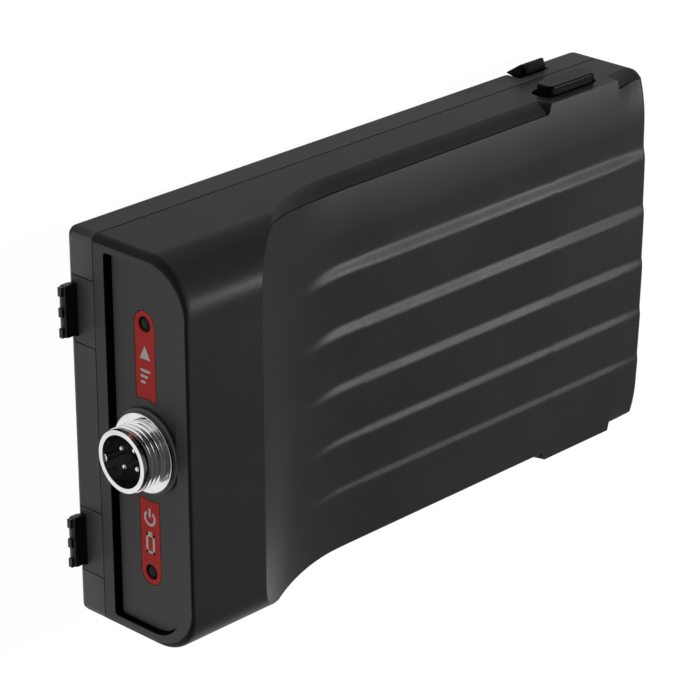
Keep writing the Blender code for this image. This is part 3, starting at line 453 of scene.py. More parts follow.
def plasticFinish(name, dark, light, rough, grain=3600.0, depth=0.00003, wearAndSheen=(0.05, 0.05, 0.052), **fixed):
    material, tree, shader = newFinish(name, fixed)
    skin = useGroup(tree, mouldGrain, {"Grain": grain})
    edgeWearSheenMask = useGroup(tree, edgeWearAndSheen, {"Gain": 1.6})
    colour = mixColours(tree, skin.outputs["Blotch"], dark, light)
    # outer edges take the edge colour: partly wear, partly a painted edge highlight
    colour = mixColours(tree, edgeWearSheenMask.outputs["Mask"], colour, wearAndSheen)
    dust = addMath(tree, "MULTIPLY", skin.outputs["Dust"], 0.25)
    colour = mixColours(tree, dust, colour, dustGrey)
    tree.links.new(colour, shader.inputs["Base Color"])
    spread = addMath(tree, "ADD", skin.outputs["Blotch"], skin.outputs["Height"])
    spread = addMath(tree, "MULTIPLY", spread, 0.5)
    tree.links.new(addRange(tree, spread, 0.2, 0.8, *rough), shader.inputs["Roughness"])
    bump = tree.nodes.new("ShaderNodeBump")
    bump.inputs["Strength"].default_value = 0.6
    bump.inputs["Distance"].default_value = depth
    tree.links.new(skin.outputs["Height"], bump.inputs["Height"])
    tree.links.new(bump.outputs["Normal"], shader.inputs["Normal"])
    return material


def metalFinish(name, dull, bright, rough, depth=0.000004, **fixed):
    material, tree, shader = newFinish(name, {"Metallic": 1.0, **fixed})
    marks = useGroup(tree, turningMarks, {})
    tree.links.new(mixColours(tree, marks.outputs["Bloom"], dull, bright), shader.inputs["Base Color"])
    dullness = addRange(tree, marks.outputs["Bloom"], 0.0, 1.0, rough[1], rough[0])
    tree.links.new(dullness, shader.inputs["Roughness"])
    bump = tree.nodes.new("ShaderNodeBump")
    bump.inputs["Strength"].default_value = 0.5
    bump.inputs["Distance"].default_value = depth
    tree.links.new(marks.outputs["Height"], bump.inputs["Height"])
    tree.links.new(bump.outputs["Normal"], shader.inputs["Normal"])
    return material


mouldGrain = makeMouldGrain()
edgeWearAndSheen = makeEdgeWearAndSheen()
turningMarks = makeTurningMarks()
satin = {"Specular IOR Level": 0.035}
gloss = {"Specular IOR Level": 0.32}
finishes = {
    "case": plasticFinish("satinCasePlastic", (0.023, 0.023, 0.023), (0.028, 0.028, 0.028), (0.32, 0.40),
                          **satin),
    "cover": plasticFinish("paleCoverPlastic", (0.066, 0.066, 0.066), (0.078, 0.078, 0.078), (0.44, 0.56),
                           wearAndSheen=(0.08, 0.08, 0.08), **satin),
    # painted light: a lighter, glossier copy of the cover finish for faces turned to the socket end, where the
    # light falls most
    "litCoverEnd": plasticFinish("paintedLitCoverEndPlastic", (0.090, 0.090, 0.090), (0.105, 0.105, 0.105),
                              (0.44, 0.56), wearAndSheen=(0.08, 0.08, 0.08), **gloss),
    "tongue": plasticFinish("darkTonguePlastic", (0.012, 0.012, 0.012), (0.018, 0.018, 0.018), (0.34, 0.44),
                            depth=0.000002, wearAndSheen=(0.03, 0.03, 0.03), **gloss),
    "panel": plasticFinish("satinPanelPlastic", (0.028, 0.028, 0.028), (0.036, 0.036, 0.036), (0.40, 0.50),
                           **gloss),
    # painted shade: the recess walls get a near-black finish that stands in for the shade deep in the slit
    # round the end panel
    "shadow": plasticFinish("paintedShadeRecessWall", (0.0015, 0.0015, 0.0015), (0.003, 0.003, 0.003), (0.75, 0.9),
                            wearAndSheen=(0.006, 0.006, 0.006), **{"Specular IOR Level": 0.05}),
    "latch": plasticFinish("darkLatchPlastic", (0.003, 0.003, 0.003), (0.006, 0.006, 0.006), (0.30, 0.40),
                           depth=0.000002, wearAndSheen=(0.02, 0.02, 0.02), **satin),
    "label": plasticFinish("printedLabelRed", (0.76, 0.070, 0.062), (0.84, 0.085, 0.075), (0.48, 0.6),
                           grain=5200.0, depth=0.000006, wearAndSheen=(0.38, 0.06, 0.05), **satin),
    "washer": plasticFinish("greySealRing", (0.14, 0.14, 0.14), (0.18, 0.18, 0.18), (0.6, 0.75),
                            grain=2400.0),
    "mark": plasticFinish("printedMarkWhite", (0.74, 0.73, 0.72), (0.82, 0.81, 0.80), (0.40, 0.52),
                          grain=5200.0, depth=0.000006, wearAndSheen=(0.8, 0.8, 0.8)),
    "lens": plasticFinish("smokedLens", (0.040, 0.047, 0.042), (0.052, 0.060, 0.054), (0.44, 0.54),
                          depth=0.000002, wearAndSheen=(0.06, 0.068, 0.062), **satin),
    "led": plasticFinish("paleResin", (0.62, 0.60, 0.48), (0.74, 0.71, 0.58), (0.30, 0.42), depth=0.000005),
    "board": plasticFinish("greenSolderMask", (0.015, 0.10, 0.04), (0.03, 0.15, 0.07), (0.28, 0.40),
                           depth=0.00001, wearAndSheen=(0.35, 0.25, 0.12)),
    "insulator": plasticFinish("oliveInsulator", (0.010, 0.010, 0.006), (0.016, 0.016, 0.010), (0.5, 0.65)),
    "rubber": plasticFinish("blackRubber", (0.010, 0.010, 0.010), (0.017, 0.017, 0.017), (0.6, 0.78),
                            grain=2400.0),
    "battery": plasticFinish("shrinkWrapBlue", (0.08, 0.11, 0.19), (0.11, 0.14, 0.24), (0.36, 0.5),
                             grain=900.0),
    "foam": plasticFinish("darkFoam", (0.05, 0.05, 0.05), (0.09, 0.09, 0.09), (0.85, 0.95),
                          grain=1800.0, depth=0.0002),
    "jacket": plasticFinish("redLeadJacket", (0.30, 0.03, 0.025), (0.38, 0.05, 0.04), (0.42, 0.55)),
    "chrome": metalFinish("brightChromePlate", (0.70, 0.70, 0.70), (0.82, 0.82, 0.82), (0.06, 0.14)),
    "steel": metalFinish("brightSteel", (0.48, 0.48, 0.49), (0.60, 0.60, 0.61), (0.22, 0.36), depth=0.00001),
    "pin": metalFinish("platedPin", (0.84, 0.81, 0.72), (0.92, 0.90, 0.82), (0.16, 0.26)),
}
print("finishes ready:", len(finishes))


# camera, floor and light

view = {
    "place": (-0.41412937, 0.24296702, 0.40668712),
    "turn": (-23.09874, -45.82451, -0.27941),   # degrees about X, Y and Z
    "lens": 169.3234,
}
bpy.ops.object.camera_add(location=view["place"], rotation=[math.radians(a) for a in view["turn"]])
camera = bpy.context.object
camera.name = "photoCamera"
camera.data.lens = view["lens"]
camera.data.sensor_width = 36.0
camera.data.clip_start = 0.02
camera.data.clip_end = 20.0
scene.camera = camera

stage = {"floor": 8.0, "sink": 0.0003, "paper": (0.86, 0.86, 0.86), "white": 0.95, "glow": 1.03,
         "world": 0.10}
deselectAll()
bpy.ops.mesh.primitive_plane_add(size=stage["floor"], location=(0.0, 0.0, -stage["sink"]))
floor = settleMesh(named("paleFloor"))
paper = bpy.data.materials.new("paleFloorPaper")
paper.use_nodes = True
tree = paper.node_tree
tree.nodes.remove(tree.nodes["Principled BSDF"])
diffuse = tree.nodes.new("ShaderNodeBsdfDiffuse")
diffuse.inputs["Color"].default_value = (*stage["paper"], 1.0)
glow = tree.nodes.new("ShaderNodeEmission")
glow.inputs["Strength"].default_value = stage["glow"]
ray = tree.nodes.new("ShaderNodeLightPath")
seen = addMath(tree, "MAXIMUM", ray.outputs["Is Camera Ray"], ray.outputs["Is Glossy Ray"])
seen = addMath(tree, "MAXIMUM", seen, ray.outputs["Is Transmission Ray"])
share = tree.nodes.new("ShaderNodeMixShader")
tree.links.new(addMath(tree, "MULTIPLY", seen, stage["white"]), share.inputs["Fac"])
tree.links.new(diffuse.outputs[0], share.inputs[1])
tree.links.new(glow.outputs[0], share.inputs[2])
tree.links.new(share.outputs[0], tree.nodes["Material Output"].inputs["Surface"])
floor.data.materials.append(paper)

world = bpy.data.worlds.new("softRoom")
scene.world = world
world.use_nodes = True
world.node_tree.nodes["Background"].inputs["Color"].default_value = (1.0, 1.0, 1.0, 1.0)
world.node_tree.nodes["Background"].inputs["Strength"].default_value = stage["world"]

lamps = {   # direction to the lamp, distance, width, height, watts
    "keySoftbox": ((0.66, 0.03, 0.75), 0.80, 0.10, 0.09, 7.2),
    "endSoftbox": ((-0.92, 0.05, 0.12), 1.40, 0.50, 0.40, 1.0),
}
for name, (way, distance, width, height, watts) in lamps.items():
    toward = Vector(way).normalized()
    bpy.ops.object.light_add(type="AREA", location=toward * distance)
    lamp = bpy.context.object
    lamp.name = name
    lamp.rotation_euler = toward.to_track_quat("Z", "Y").to_euler()
    lamp.data.shape = "RECTANGLE"
    lamp.data.size = width
    lamp.data.size_y = height
    lamp.data.energy = watts
scene.view_settings.view_transform = "Standard"
print("camera, floor and", len(lamps), "lamps set")


# front shell: a head block cut by the long sweep of the ribbed tail

shellForm = {
    "length": 134.5, "half": 37.5, "low": 6.82, "seamRound": 0.16, "wall": 2.2,
    "headFront": 30.2, "headLength": 17.9, "headCorner": 9.6,
    "tailFront": 20.0, "tailCorner": 4.2, "sweepLength": 36.0, "sweepPower": 2.7,
    "crease": math.radians(60.0), "endCrease": math.radians(48.0), "endCorner": 5.0,
    "bandStart": math.radians(8.0), "lip": 0.35, "lipRun": 12.0, "lipEnd": 5.0, "crown": 0.6,
    "roll": 9.2, "rollSteps": 16, "bandLeast": 0.3, "bandFrom": 20.0, "bandTo": 46.0,
    "sideRound": 1.6, "frontRound": 0.7, "farRound": 1.2,
}
ribForm = {
    "count": 5, "first": -23.2, "pitch": 9.9, "growth": 0.275, "samples": 200,
    "step": 0.36, "stepGrowth": 0.06, "ledge": 1.8, "ledgeGrowth": 0.25,
    "start": 31.0, "full": 48.0, "bend": 1.2, "endFade": 0.45, "endRun": 7.0,
}
padForm = {"start": 105.4, "full": 107.4, "end": 126.0, "step": 0.3}
startX = -shellForm["length"] / 2.0
innerSide = shellForm["half"] - shellForm["wall"]


def smoothStep(value, low, high):
    t = min(1.0, max(0.0, (value - low) / (high - low)))
    return t * t * (3.0 - 2.0 * t)


def blend2(a, b, t):
    return tuple(p + (q - p) * t for p, q in zip(a, b))


def sweepHeight(along):
    f = shellForm
    fall = min(1.0, (along - f["headLength"]) / f["sweepLength"])
    return f["tailFront"] + (f["headFront"] - f["tailFront"]) * (1.0 - fall) ** f["sweepPower"]


def frontHeight(along):
    return min(shellForm["headFront"], sweepHeight(along))


def roundInset(along, radius):
    if along >= radius:
        return 0.0
    return radius - math.sqrt(max(0.0, radius * radius - (radius - along) ** 2))


def blockRow(along, sideInset, frontInset):
    f = shellForm
    corner = (f["half"] - f["headCorner"], f["headFront"] - f["headCorner"])
    seam = (f["half"] - f["seamRound"], f["low"] + f["seamRound"])
    side = arcPoints(seam, f["seamRound"], -math.pi / 2.0, 0.0, 4)
    side += arcPoints(corner, f["headCorner"], 0.0, math.pi / 2.0, 24)
    ring = [(-y, z) for y, z in side] + list(reversed(side))
    wide = (f["half"] - sideInset) / f["half"]
    tall = 1.0 - frontInset / (f["headFront"] - f["low"])
    return [(startX + along, y * wide, f["low"] + (z - f["low"]) * tall) for y, z in ring]


def headBlock():
    f = shellForm
    steps = [f["sideRound"] * (1.0 - math.cos(math.pi / 2.0 * i / 12.0)) for i in range(13)]
    rows = [blockRow(a, roundInset(a, f["sideRound"]), roundInset(a, f["frontRound"])) for a in steps]
    rows += [blockRow(a, 0.0, 0.0) for a in (10.0, 18.0, 30.0, 60.0, 100.0)]
    steps = [f["farRound"] * (1.0 - math.cos(math.pi / 2.0 * i / 8.0)) for i in range(9)]
    rows += [blockRow(f["length"] - a, roundInset(a, f["farRound"]), 0.0) for a in reversed(steps)]
    return addSkin("frontShell", rows)


def padShare(along):
    p = padForm
    return smoothStep(along, p["start"], p["full"]) - smoothStep(along, p["end"], p["end"] + p["step"])


def sidePoints(along):
    # the dark band, the lip at the crease and the roll that leads on to the front
    f = shellForm
    relief = smoothStep(along, f["headLength"], f["headLength"] + f["lipRun"])
    lip = f["lip"] * relief * (1.0 - smoothStep(along, f["length"] - f["lipEnd"], f["length"]))
    edge = sweepHeight(along) - f["crown"] / 2.0 * relief
    grown = f["bandLeast"] + (1.0 - f["bandLeast"]) * smoothStep(along, f["bandFrom"], f["bandTo"])
    ended = smoothStep(along, padForm["end"], f["length"] - f["lipEnd"] / 2.0)
    corner = f["tailCorner"] * grown * (1.0 - ended) + f["endCorner"] * ended
    angle = f["crease"] * (1.0 - ended) + f["endCrease"] * ended
    centre = (f["half"] - corner, edge - lip - corner)
    lower = arcPoints(centre, corner, f["bandStart"], angle, 9)
    crease = arcPoints(centre, corner + lip, angle, angle, 1)[0]
    top = f["half"] - f["roll"]
    run, fall = crease[0] - top, edge - crease[1]
    slope = min(0.8, 2.0 * f["crown"] * relief / top * run / fall)
    outside = f["half"] + 1.0
    pad = padShare(along)
    reach = 1.0 + pad * ((outside - top) / run - 1.0)
    upper = []
    for i in range(f["rollSteps"] + 1):
        t = reach * (1.0 - i / f["rollSteps"])
        upper.append((top + run * t, edge - fall * ((1.0 - slope) * t * t + slope * t)))
    low = lower[0][1]
    square = [(outside, low + (upper[0][1] - f["lip"] - low) * i / 9.0) for i in range(10)]
    lower = [blend2(a, b, pad) for a, b in zip(lower, square)]
    return [(outside, f["low"] - 1.0), (outside, low - 1.0)] + lower + upper


def ribRise(along):
    # each rib is a ledge that steps down towards the upper side; the ribs grow out of the sweep
    r = ribForm
    grown = smoothStep(along, r["start"], r["full"])
    ended = smoothStep(along, shellForm["length"] - r["endRun"], shellForm["length"])
    share = grown - grown * r["endFade"] * ended
    limit = shellForm["half"] - shellForm["roll"]
    stops = [(-limit, 0.0)]
    for k in range(r["count"]):
        middle = r["first"] + r["pitch"] * k + r["growth"] * k * k - r["bend"] * (1.0 - grown)
        ledge = (r["ledge"] + r["ledgeGrowth"] * k) / 2.0
        lift = (r["step"] + r["stepGrowth"] * k) / 2.0 * share
        stops += [(middle - ledge, lift), (middle + ledge, -lift)]
    stops.append((limit, 0.0))

    def rise(y):
        for (a, high), (b, low) in zip(stops, stops[1:]):
            if y <= b:
                t = (y - a) / (b - a)
                if high > low or a == -limit or b == limit:
                    t = t * t * (3.0 - 2.0 * t)
                return high + (low - high) * t
        return 0.0

    return rise


def sweepRow(along, heightFrom, frontInset=0.0):
    f = shellForm
    side = sidePoints(heightFrom)
    half, edge = side[-1]
    relief = smoothStep(heightFrom, f["headLength"], f["headLength"] + f["lipRun"])
    rise = ribRise(heightFrom)
    front = []
    for i in range(1, ribForm["samples"]):
        y = -half + 2.0 * half * i / ribForm["samples"]
        front.append((y, edge + f["crown"] * relief * (1.0 - (y / half) ** 2) + rise(y)))
    ring = [(-y, z) for y, z in side] + front + list(reversed(side))
    tall = 1.0 - frontInset / (edge - f["low"])
    return [(startX + along, y, f["low"] + (z - f["low"]) * tall) for y, z in ring]


def tailSweep():
    f, p = shellForm, padForm
    lead = f["headLength"] - f["sweepLength"] / 8.0
    places = [lead + 0.9 * i for i in range(46)]
    places += [57.0, 62.0, 70.0, 80.0, 90.0, 98.0, 103.0]
    places += [p["start"] + (p["full"] - p["start"]) * i / 10.0 for i in range(11)]
    places += [112.0, 118.0, 123.0, p["end"]] + [p["end"] + p["step"] * i / 4.0 for i in (1, 2, 3, 4)]
    places += [127.5, 129.0, 130.5, 132.0]
    rows = [sweepRow(-1.0, lead)] + [sweepRow(a, a) for a in places]
    for i in range(8, -1, -1):
        along = f["farRound"] * (1.0 - math.cos(math.pi / 2.0 * i / 8.0))
        rows.append(sweepRow(f["length"] - along, f["length"], roundInset(along, f["farRound"])))
    rows.append(sweepRow(f["length"] + 1.0, f["length"], f["farRound"] + 1.0))
    return addSkin("tailSweep", rows)


hollowForm = {"slope": 0.7, "lead": 1.0, "first": 5.15}


def hollowRow(along):
    f = shellForm
    high = frontHeight(along) - f["wall"]
    share = (frontHeight(along) - f["tailFront"]) / (f["headFront"] - f["tailFront"])
    slope = hollowForm["slope"] * (f["tailCorner"] + (f["headCorner"] - f["tailCorner"]) * share)
    side = [(innerSide, f["low"] - 1.0), (innerSide, high - slope), (innerSide - slope, high)]
    ring = [(-y, z) for y, z in side] + list(reversed(side))
    return [(startX + along, y, z) for y, z in ring]


def shellHollow():
    first = shellForm["headLength"] - hollowForm["lead"]
    places = [hollowForm["first"]] + [first + shellForm["sweepLength"] * i / 12.0 for i in range(13)]
    return addSkin("hollow", [hollowRow(a) for a in places + [shellForm["length"] - shellForm["wall"]]])


recessForm = {
    "half": 35.0, "middle": 18.0, "low": 9.5, "high": 26.8, "frontRound": 7.0, "backRound": 0.8,
    "floor": 3.35, "mouth": 0.12, "skin": 0.2, "behind": 2.2, "near": 0.1,
    "openHalf": 31.0, "openHigh": 25.9, "openRound": 4.0, "openBackRound": 0.5, "openFrom": 2.4, "openTo": 6.15,
}
latchForm = {
    "x": 49.2, "length": 13.7, "low": 11.4, "high": 16.0, "round": 1.7, "gap": 0.35, "extra": 0.9,
    "mouth": 0.16, "bridge": 17.2, "thick": 2.2, "travel": 1.8, "room": 0.4, "spring": 1.5, "under": 1.25,
}
mouthLead = 0.7   # share of a rounded mouth that stands outside the wall


# the faces of the end recess's walls, which are given painted shade
def inRecess(face):
    r = recessForm
    x, y, z = face.center * 1000.0
    inward = face.normal.y * -y + face.normal.z * (r["middle"] - z) > 0.0
    deep = inward and startX + r["skin"] < x < startX + r["floor"] + r["behind"]
    across = abs(y) < r["half"] + r["near"]
    return deep and across and r["low"] - r["near"] < z < r["high"] + r["near"]


def buildShell():
    f, r, b = shellForm, recessForm, latchForm
    shell = boolean(headBlock(), tailSweep(), "INTERSECT")
    boolean(shell, shellHollow(), "DIFFERENCE")
    rounds = (r["frontRound"], r["frontRound"], r["backRound"], r["backRound"])
    outline = roundRect((-r["half"], r["low"]), (r["half"], r["high"]), rounds, 12)
    recess = addPlate("recess", "X", outline, startX - mouthLead * r["mouth"], startX + r["floor"], r["mouth"])
    boolean(shell, recess, "DIFFERENCE")
    rounds = (r["openRound"], r["openRound"], r["openBackRound"], r["openBackRound"])
    outline = roundRect((-r["openHalf"], r["low"]), (r["openHalf"], r["openHigh"]), rounds)
    opening = addPlate("opening", "X", outline, startX + r["openFrom"], startX + r["openTo"])
    boolean(shell, opening, "DIFFERENCE")
    for way in (1.0, -1.0):
        reach = b["bridge"] / 2.0 + b["room"]
        inner = innerSide - b["thick"] - b["travel"] - b["spring"]
        ends = sorted((way * inner, way * innerSide))
        low = (b["x"] - reach, ends[0], f["low"] - b["under"])
        high = (b["x"] + reach, ends[1], b["high"] + b["room"])
        boolean(shell, addBox("pocket", low, high), "DIFFERENCE")
        low = (b["low"] - b["gap"], b["x"] - b["length"] / 2.0 - b["gap"] - b["extra"])
        high = (b["high"] + b["gap"], b["x"] + b["length"] / 2.0 + b["gap"])
        outline = roundRect(low, high, (b["round"] + b["gap"],) * 4, 8)
        outer = -f["half"] - mouthLead * b["mouth"]
        window = addPlate("window", "Y", outline, outer, 1.0 - innerSide, b["mouth"])
        if way > 0.0:
            window.data.transform(Matrix.Scale(-1.0, 4, (0.0, 1.0, 0.0)))
            mergeAndTurnOut(window)
        boolean(shell, window, "DIFFERENCE")
    mergeAndTurnOut(shell, 0.0008)
    smoothShade(shell, 24.0)
    finishPiece(shell, "housing", "case_plastic", finishes["case"], "front_shell")
    addFinish(shell, finishes["panel"], atSocketEnd)
    # the recess walls take the near-black finish: painted shade
    return addFinish(shell, finishes["shadow"], inRecess)


buildShell()
print("front shell made")


# back cover, end panel, tongues and latches keep their solids' form, with softened edges

softened = {   # node: piece, body, slot, finish, edge width, steps, least turn
    "back_cover": ("backCover", "housing", "case_plastic", "cover", 0.16, 2, 50.0),
    "end_panel": ("endPanel", "housing", "panel_plastic", "panel", 0.12, 2, 50.0),
    "tongue_upper": ("tongueUpper", "housing", "latch_plastic", "tongue", 0.2, 3, 40.0),
    "tongue_lower": ("tongueLower", "housing", "latch_plastic", "tongue", 0.2, 3, 40.0),
    "latch_upper": ("latchUpper", "upper_latch", "latch_plastic", "latch", 0.3, 4, 32.0),
    "latch_lower": ("latchLower", "lower_latch", "latch_plastic", "latch", 0.3, 4, 32.0),
    "label_upper": ("labelUpper", "housing", "label_red", "label", 0.07, 2, 50.0),
    "label_lower": ("labelLower", "housing", "label_red", "label", 0.07, 2, 50.0),
    "lens_upper": ("lensUpper", "housing", "lens", "lens", 0.0, 0, 50.0),
    "lens_lower": ("lensLower", "housing", "lens", "lens", 0.0, 0, 50.0),
    "socket_gasket": ("socketGasket", "housing", "black_rubber", "washer", 0.12, 3, 50.0),
    "socket_insert": ("socketInsert", "housing", "insulator", "insulator", 0.12, 2, 50.0),
}
panelForm = {"edge": 13.0, "widen": 1.2}
tongueForm = {"wall": 0.3}   # depth of the faces that lie in the cover's end


def widenPanel(panel):
    # the rear edge comes nearer to the recess wall
    pick(panel, "VERT", lambda vertex: vertex.co.z < panelForm["edge"])
    bpy.ops.transform.translate(value=(0.0, 0.0, -panelForm["widen"]))
    leaveEdit()


for node, (piece, body, slotName, finish, width, steps, least) in softened.items():
    obj = copySolid(node, piece)
    if node == "end_panel":
        widenPanel(obj)
    count = bevelEdges(obj, width, steps, least) if width else 0
    smoothShade(obj, 34.0)
    finishPiece(obj, body, slotName, finishes[finish], node)
    # the tongues' faces in the cover's end plane take the lighter copy of the cover finish: painted light
    if node.startswith("tongue"):
        flush = startX - tongueForm["wall"]
        addFinish(obj, finishes["litCoverEnd"], lambda face: face.center.x * 1000.0 > flush)
    # the cover's socket-end faces take the lighter copy of its finish: painted light
    if node == "back_cover":
        addFinish(obj, finishes["litCoverEnd"], atSocketEnd)
    print(piece, "softened along", count, "edges,", len(obj.data.polygons), "faces")


# socket: a chrome barrel with a cut thread, a rim, a flange and a key, and four pins

socketForm = {
    "z": 18.5, "rimX": -72.65, "rimLength": 0.9, "rimRadius": 5.85, "bore": 4.85, "edge": 0.2,
    "thread": 6.0, "pitch": 1.0, "depth": 0.6, "fade": 0.45, "flangeX": -67.65, "flangeThick": 0.7,
    "flangeRadius": 7.4, "barrelEnd": -58.1, "keyRadius": 0.8, "keySink": 0.1, "insertX": -65.6,
    "pinRadius": 0.5, "pinHalf": 1.7, "pinTip": -71.05, "pinEnd": -55.6, "turn": math.radians(10.0),
    "threadSteps": 84, "crestGain": 1.22, "crestRound": 0.4, "margin": 0.02, "runOut": 0.05, "outside": 0.3,
}


def turnedPlace(across, up):
    s = socketForm
    swing, lift = math.cos(s["turn"]), math.sin(s["turn"])
    return (across * swing + up * lift, s["z"] - across * lift + up * swing)


def threadShape(turned):
    s = socketForm
    first, last = s["rimX"] + s["rimLength"] + s["edge"], s["flangeX"]
    for vertex in turned.data.vertices:
        x, y, z = vertex.co
        radius = math.hypot(y, z - s["z"])
        if first < x < last - s["margin"] and radius > s["bore"] + s["outside"]:
            angle = math.atan2(z - s["z"], y)
            phase = ((x - first) / s["pitch"] - angle / (2.0 * math.pi)) % 1.0
            crest = min(1.0, s["crestGain"] * abs(2.0 * phase - 1.0))
            rounded = crest * crest * (3.0 - 2.0 * crest)
            crest = rounded * s["crestRound"] + crest * (1.0 - s["crestRound"])
            fade = smoothStep(x, first, first + s["fade"])
            fade *= 1.0 - smoothStep(x, last - s["fade"], last - s["runOut"])
            scale = (s["thread"] - s["depth"] * (1.0 - crest) * fade) / radius
            vertex.co = (x, y * scale, s["z"] + (z - s["z"]) * scale)


def buildSocket():
    s = socketForm
    e = s["edge"]
    step = s["rimX"] + s["rimLength"]
    back = s["flangeX"] + s["flangeThick"]
    profile = [(s["rimX"], s["bore"] + e), (s["rimX"], s["rimRadius"] - e)]
    profile += [(s["rimX"] + 0.3 * e, s["rimRadius"] - 0.3 * e), (s["rimX"] + e, s["rimRadius"])]
    profile += [(step - 0.3 * e, s["rimRadius"]), (step, s["rimRadius"] - 0.3 * e)]
    profile += [(step + 0.5 * e, s["thread"] - s["depth"]), (step + e, s["thread"] - s["depth"])]
    count = s["threadSteps"]
    first, last = step + e, s["flangeX"]
    profile += [(first + (last - first) * (i + 0.5) / count, s["thread"]) for i in range(count)]
    profile += [(s["flangeX"], s["thread"]), (s["flangeX"], s["flangeRadius"] - e)]
    profile += [(s["flangeX"] + 0.3 * e, s["flangeRadius"] - 0.3 * e), (s["flangeX"] + e, s["flangeRadius"])]
    profile += [(back - 0.5 * e, s["flangeRadius"]), (back, s["flangeRadius"] - 0.5 * e)]
    profile += [(back, s["thread"]), (s["barrelEnd"], s["thread"]), (s["barrelEnd"], s["bore"])]
    profile += [(s["rimX"] + e, s["bore"]), (s["rimX"] + 0.3 * e, s["bore"] + 0.3 * e)]
    barrel = addTurned("socketShell", "X", (0.0, s["z"]), profile, 128)
    threadShape(barrel)
    place = turnedPlace(0.0, -s["bore"] - s["keySink"])
    key = addRod("key", "X", place, s["rimX"] + 2.0 * e, s["insertX"] - 0.15, s["keyRadius"], 32)
    bevelEdges(key, 0.15, 3, 60.0)
    boolean(barrel, key, "UNION")
    mergeAndTurnOut(barrel)
    smoothShade(barrel, 38.0)
    finishPiece(barrel, "housing", "chrome_plate", finishes["chrome"], "socket_shell")
    r = s["pinRadius"]
    places = [(1, 1), (-1, 1), (-1, -1), (1, -1)]
    for number, (a, b) in enumerate(places, 1):
        profile = [(s["pinTip"] + r * (1.0 - math.cos(t)), max(0.0, r * math.sin(t)))
                   for t in (math.pi / 2.0 * i / 8.0 for i in range(9))]
        profile += [(s["pinEnd"] - 0.1, r), (s["pinEnd"], r - 0.1), (s["pinEnd"], 0.0)]
        place = turnedPlace(a * s["pinHalf"], b * s["pinHalf"])
        pin = addTurned("socketPin" + str(number), "X", place, profile, 32)
        smoothShade(pin, 40.0)
        finishPiece(pin, "housing", "pin_brass", finishes["pin"], "socket_pin_" + str(number))


buildSocket()
print("socket made")


# printed marks on the labels: plain pictograms in a row along each label

markForm = {"z": 18.3, "thick": 0.06, "proud": 0.035, "line": 0.5}


def strokeMark(name, label, middle, strokes):
    # each stroke is a closed outline of (along, across) points about the mark's middle
    m = markForm
    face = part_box(label)[0][0] * 1000.0
    made = []
    for points in strokes:
        outline = [(middle + along, m["z"] + across) for along, across in points]
        made.append(addPlate(name, "X", outline, face - m["proud"], face + m["thick"] - m["proud"]))
    makeActive(made[0])
    for obj in made:
        obj.select_set(True)
    if len(made) > 1:
        bpy.ops.object.join()
    mark = named(name)
    mergeAndTurnOut(mark)
    smoothShade(mark, 30.0)
    return finishPiece(mark, "housing", "label_red", finishes["mark"])


def ringStroke(radius, first, last, steps=24):
    outer = arcPoints((0.0, 0.0), radius, first, last, steps)
    return outer + arcPoints((0.0, 0.0), radius - markForm["line"], last, first, steps)


def barStroke(along, low, high, line):
    half = line / 2.0
    return [(along - half, low), (along + half, low), (along + half, high), (along - half, high)]


def frameStroke(length, height):
    # a rectangle's outline, as four bars
    line, a, b = markForm["line"], length / 2.0, height / 2.0
    ends = [barStroke(way * (a - line / 2.0), -b, b, line) for way in (1.0, -1.0)]
    return ends + [[(-a, low), (a, low), (a, low + line), (-a, low + line)] for low in (-b, b - line)]


line = markForm["line"]
gap = 0.62   # half of the power ring's opening, in radians
arrow = [(-1.1, -1.3), (1.4, 0.0), (-1.1, 1.3)]
bars = [barStroke(1.1 * i - 1.1, -1.2, 0.6 * i, line) for i in (0, 1, 2)]
dash = [(0.2, -0.24), (1.9, -0.24), (1.9, 0.24), (0.2, 0.24)]
cell = frameStroke(3.8, 2.2) + [barStroke(2.15, -0.5, 0.5, 0.4)]
strokeMark("playMark", "label_upper", 18.4, [arrow])
strokeMark("signalMark", "label_upper", 14.0, bars)
strokeMark("powerMark", "label_lower", -13.2, [ringStroke(1.5, gap, 2.0 * math.pi - gap), dash])
strokeMark("batteryMark", "label_lower", -18.2, cell)
print("marks made")


# screws of the back cover, with a hexagon socket

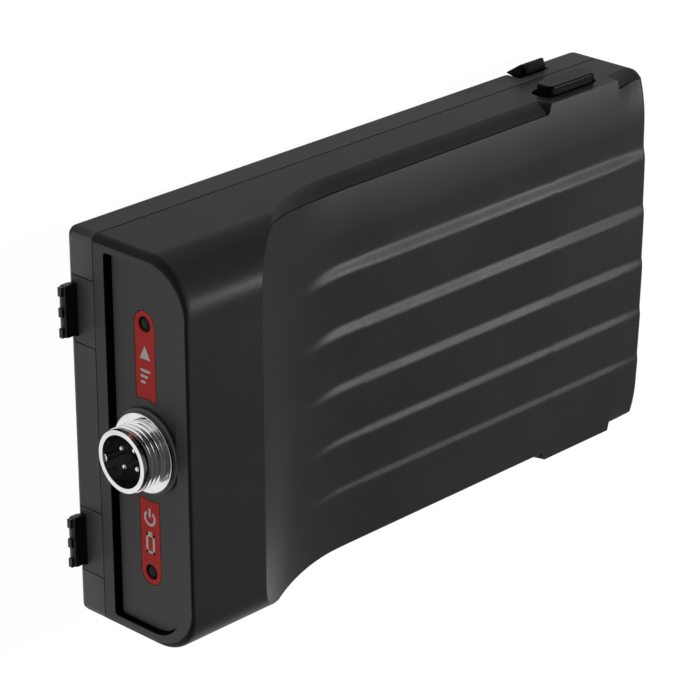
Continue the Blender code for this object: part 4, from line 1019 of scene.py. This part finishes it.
screwForm = {"sink": 1.0, "head": 1.8, "headRadius": 2.4, "radius": 1.1, "length": 9.0, "edge": 0.35,
             "drive": 1.25, "driveDeep": 1.1}


def buildScrew(number, place):
    s = screwForm
    seat = s["sink"] + s["head"]
    end = seat + s["length"]
    profile = [(s["sink"], 0.0), (s["sink"], s["headRadius"] - s["edge"])]
    for i in range(1, 6):
        t = math.pi / 2.0 * i / 5.0
        drop, spread = 1.0 - math.cos(t), 1.0 - math.sin(t)
        profile.append((s["sink"] + s["edge"] * drop, s["headRadius"] - s["edge"] * spread))
    profile += [(seat, s["headRadius"]), (seat, s["radius"]), (end - 0.6, s["radius"]), (end, 0.0)]
    screw = addTurned("coverScrew" + str(number), "Z", place, profile, 40)
    drive = addRod("drive", "Z", place, s["sink"] - 0.5, s["sink"] + s["driveDeep"], s["drive"], 6)
    boolean(screw, drive, "DIFFERENCE")
    bevelEdges(screw, 0.06, 2, 60.0, lambda a, b: max(a.z, b.z) < s["sink"] + 0.01)
    smoothShade(screw, 34.0)
    return finishPiece(screw, "housing", "steel", finishes["steel"], "cover_screw_" + str(number))


for number in (1, 2, 3, 4):
    low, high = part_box("cover_screw_" + str(number))
    buildScrew(number, [(low[i] + high[i]) * 500.0 for i in (0, 1)])
print("screws made")


# what lies inside keeps its solid and gets its finish

inside = {
    "board": ("main_board", "antenna", "led_board_upper", "led_board_lower"),
    "led": ("led_upper", "led_lower"),
    "insulator": ("ribbon_header",),
    "rubber": ("antenna_lead",),
    "battery": ("battery_pack",),
    "foam": ("battery_pad",),
    "jacket": ("socket_ribbon", "battery_lead"),
    "steel": ("radio_shield", "socket_washer", "socket_nut", "latch_spring_upper", "latch_spring_lower",
              "led_screw_1", "led_screw_2", "board_screw_1", "board_screw_2", "board_screw_3",
              "board_screw_4"),
}
for finish, nodes in inside.items():
    for node in nodes:
        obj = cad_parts[node]
        if not obj.material_slots:
            obj.data.materials.append(finishes[finish])
        for place in obj.material_slots:
            place.material = finishes[finish]
print("inside pieces finished")
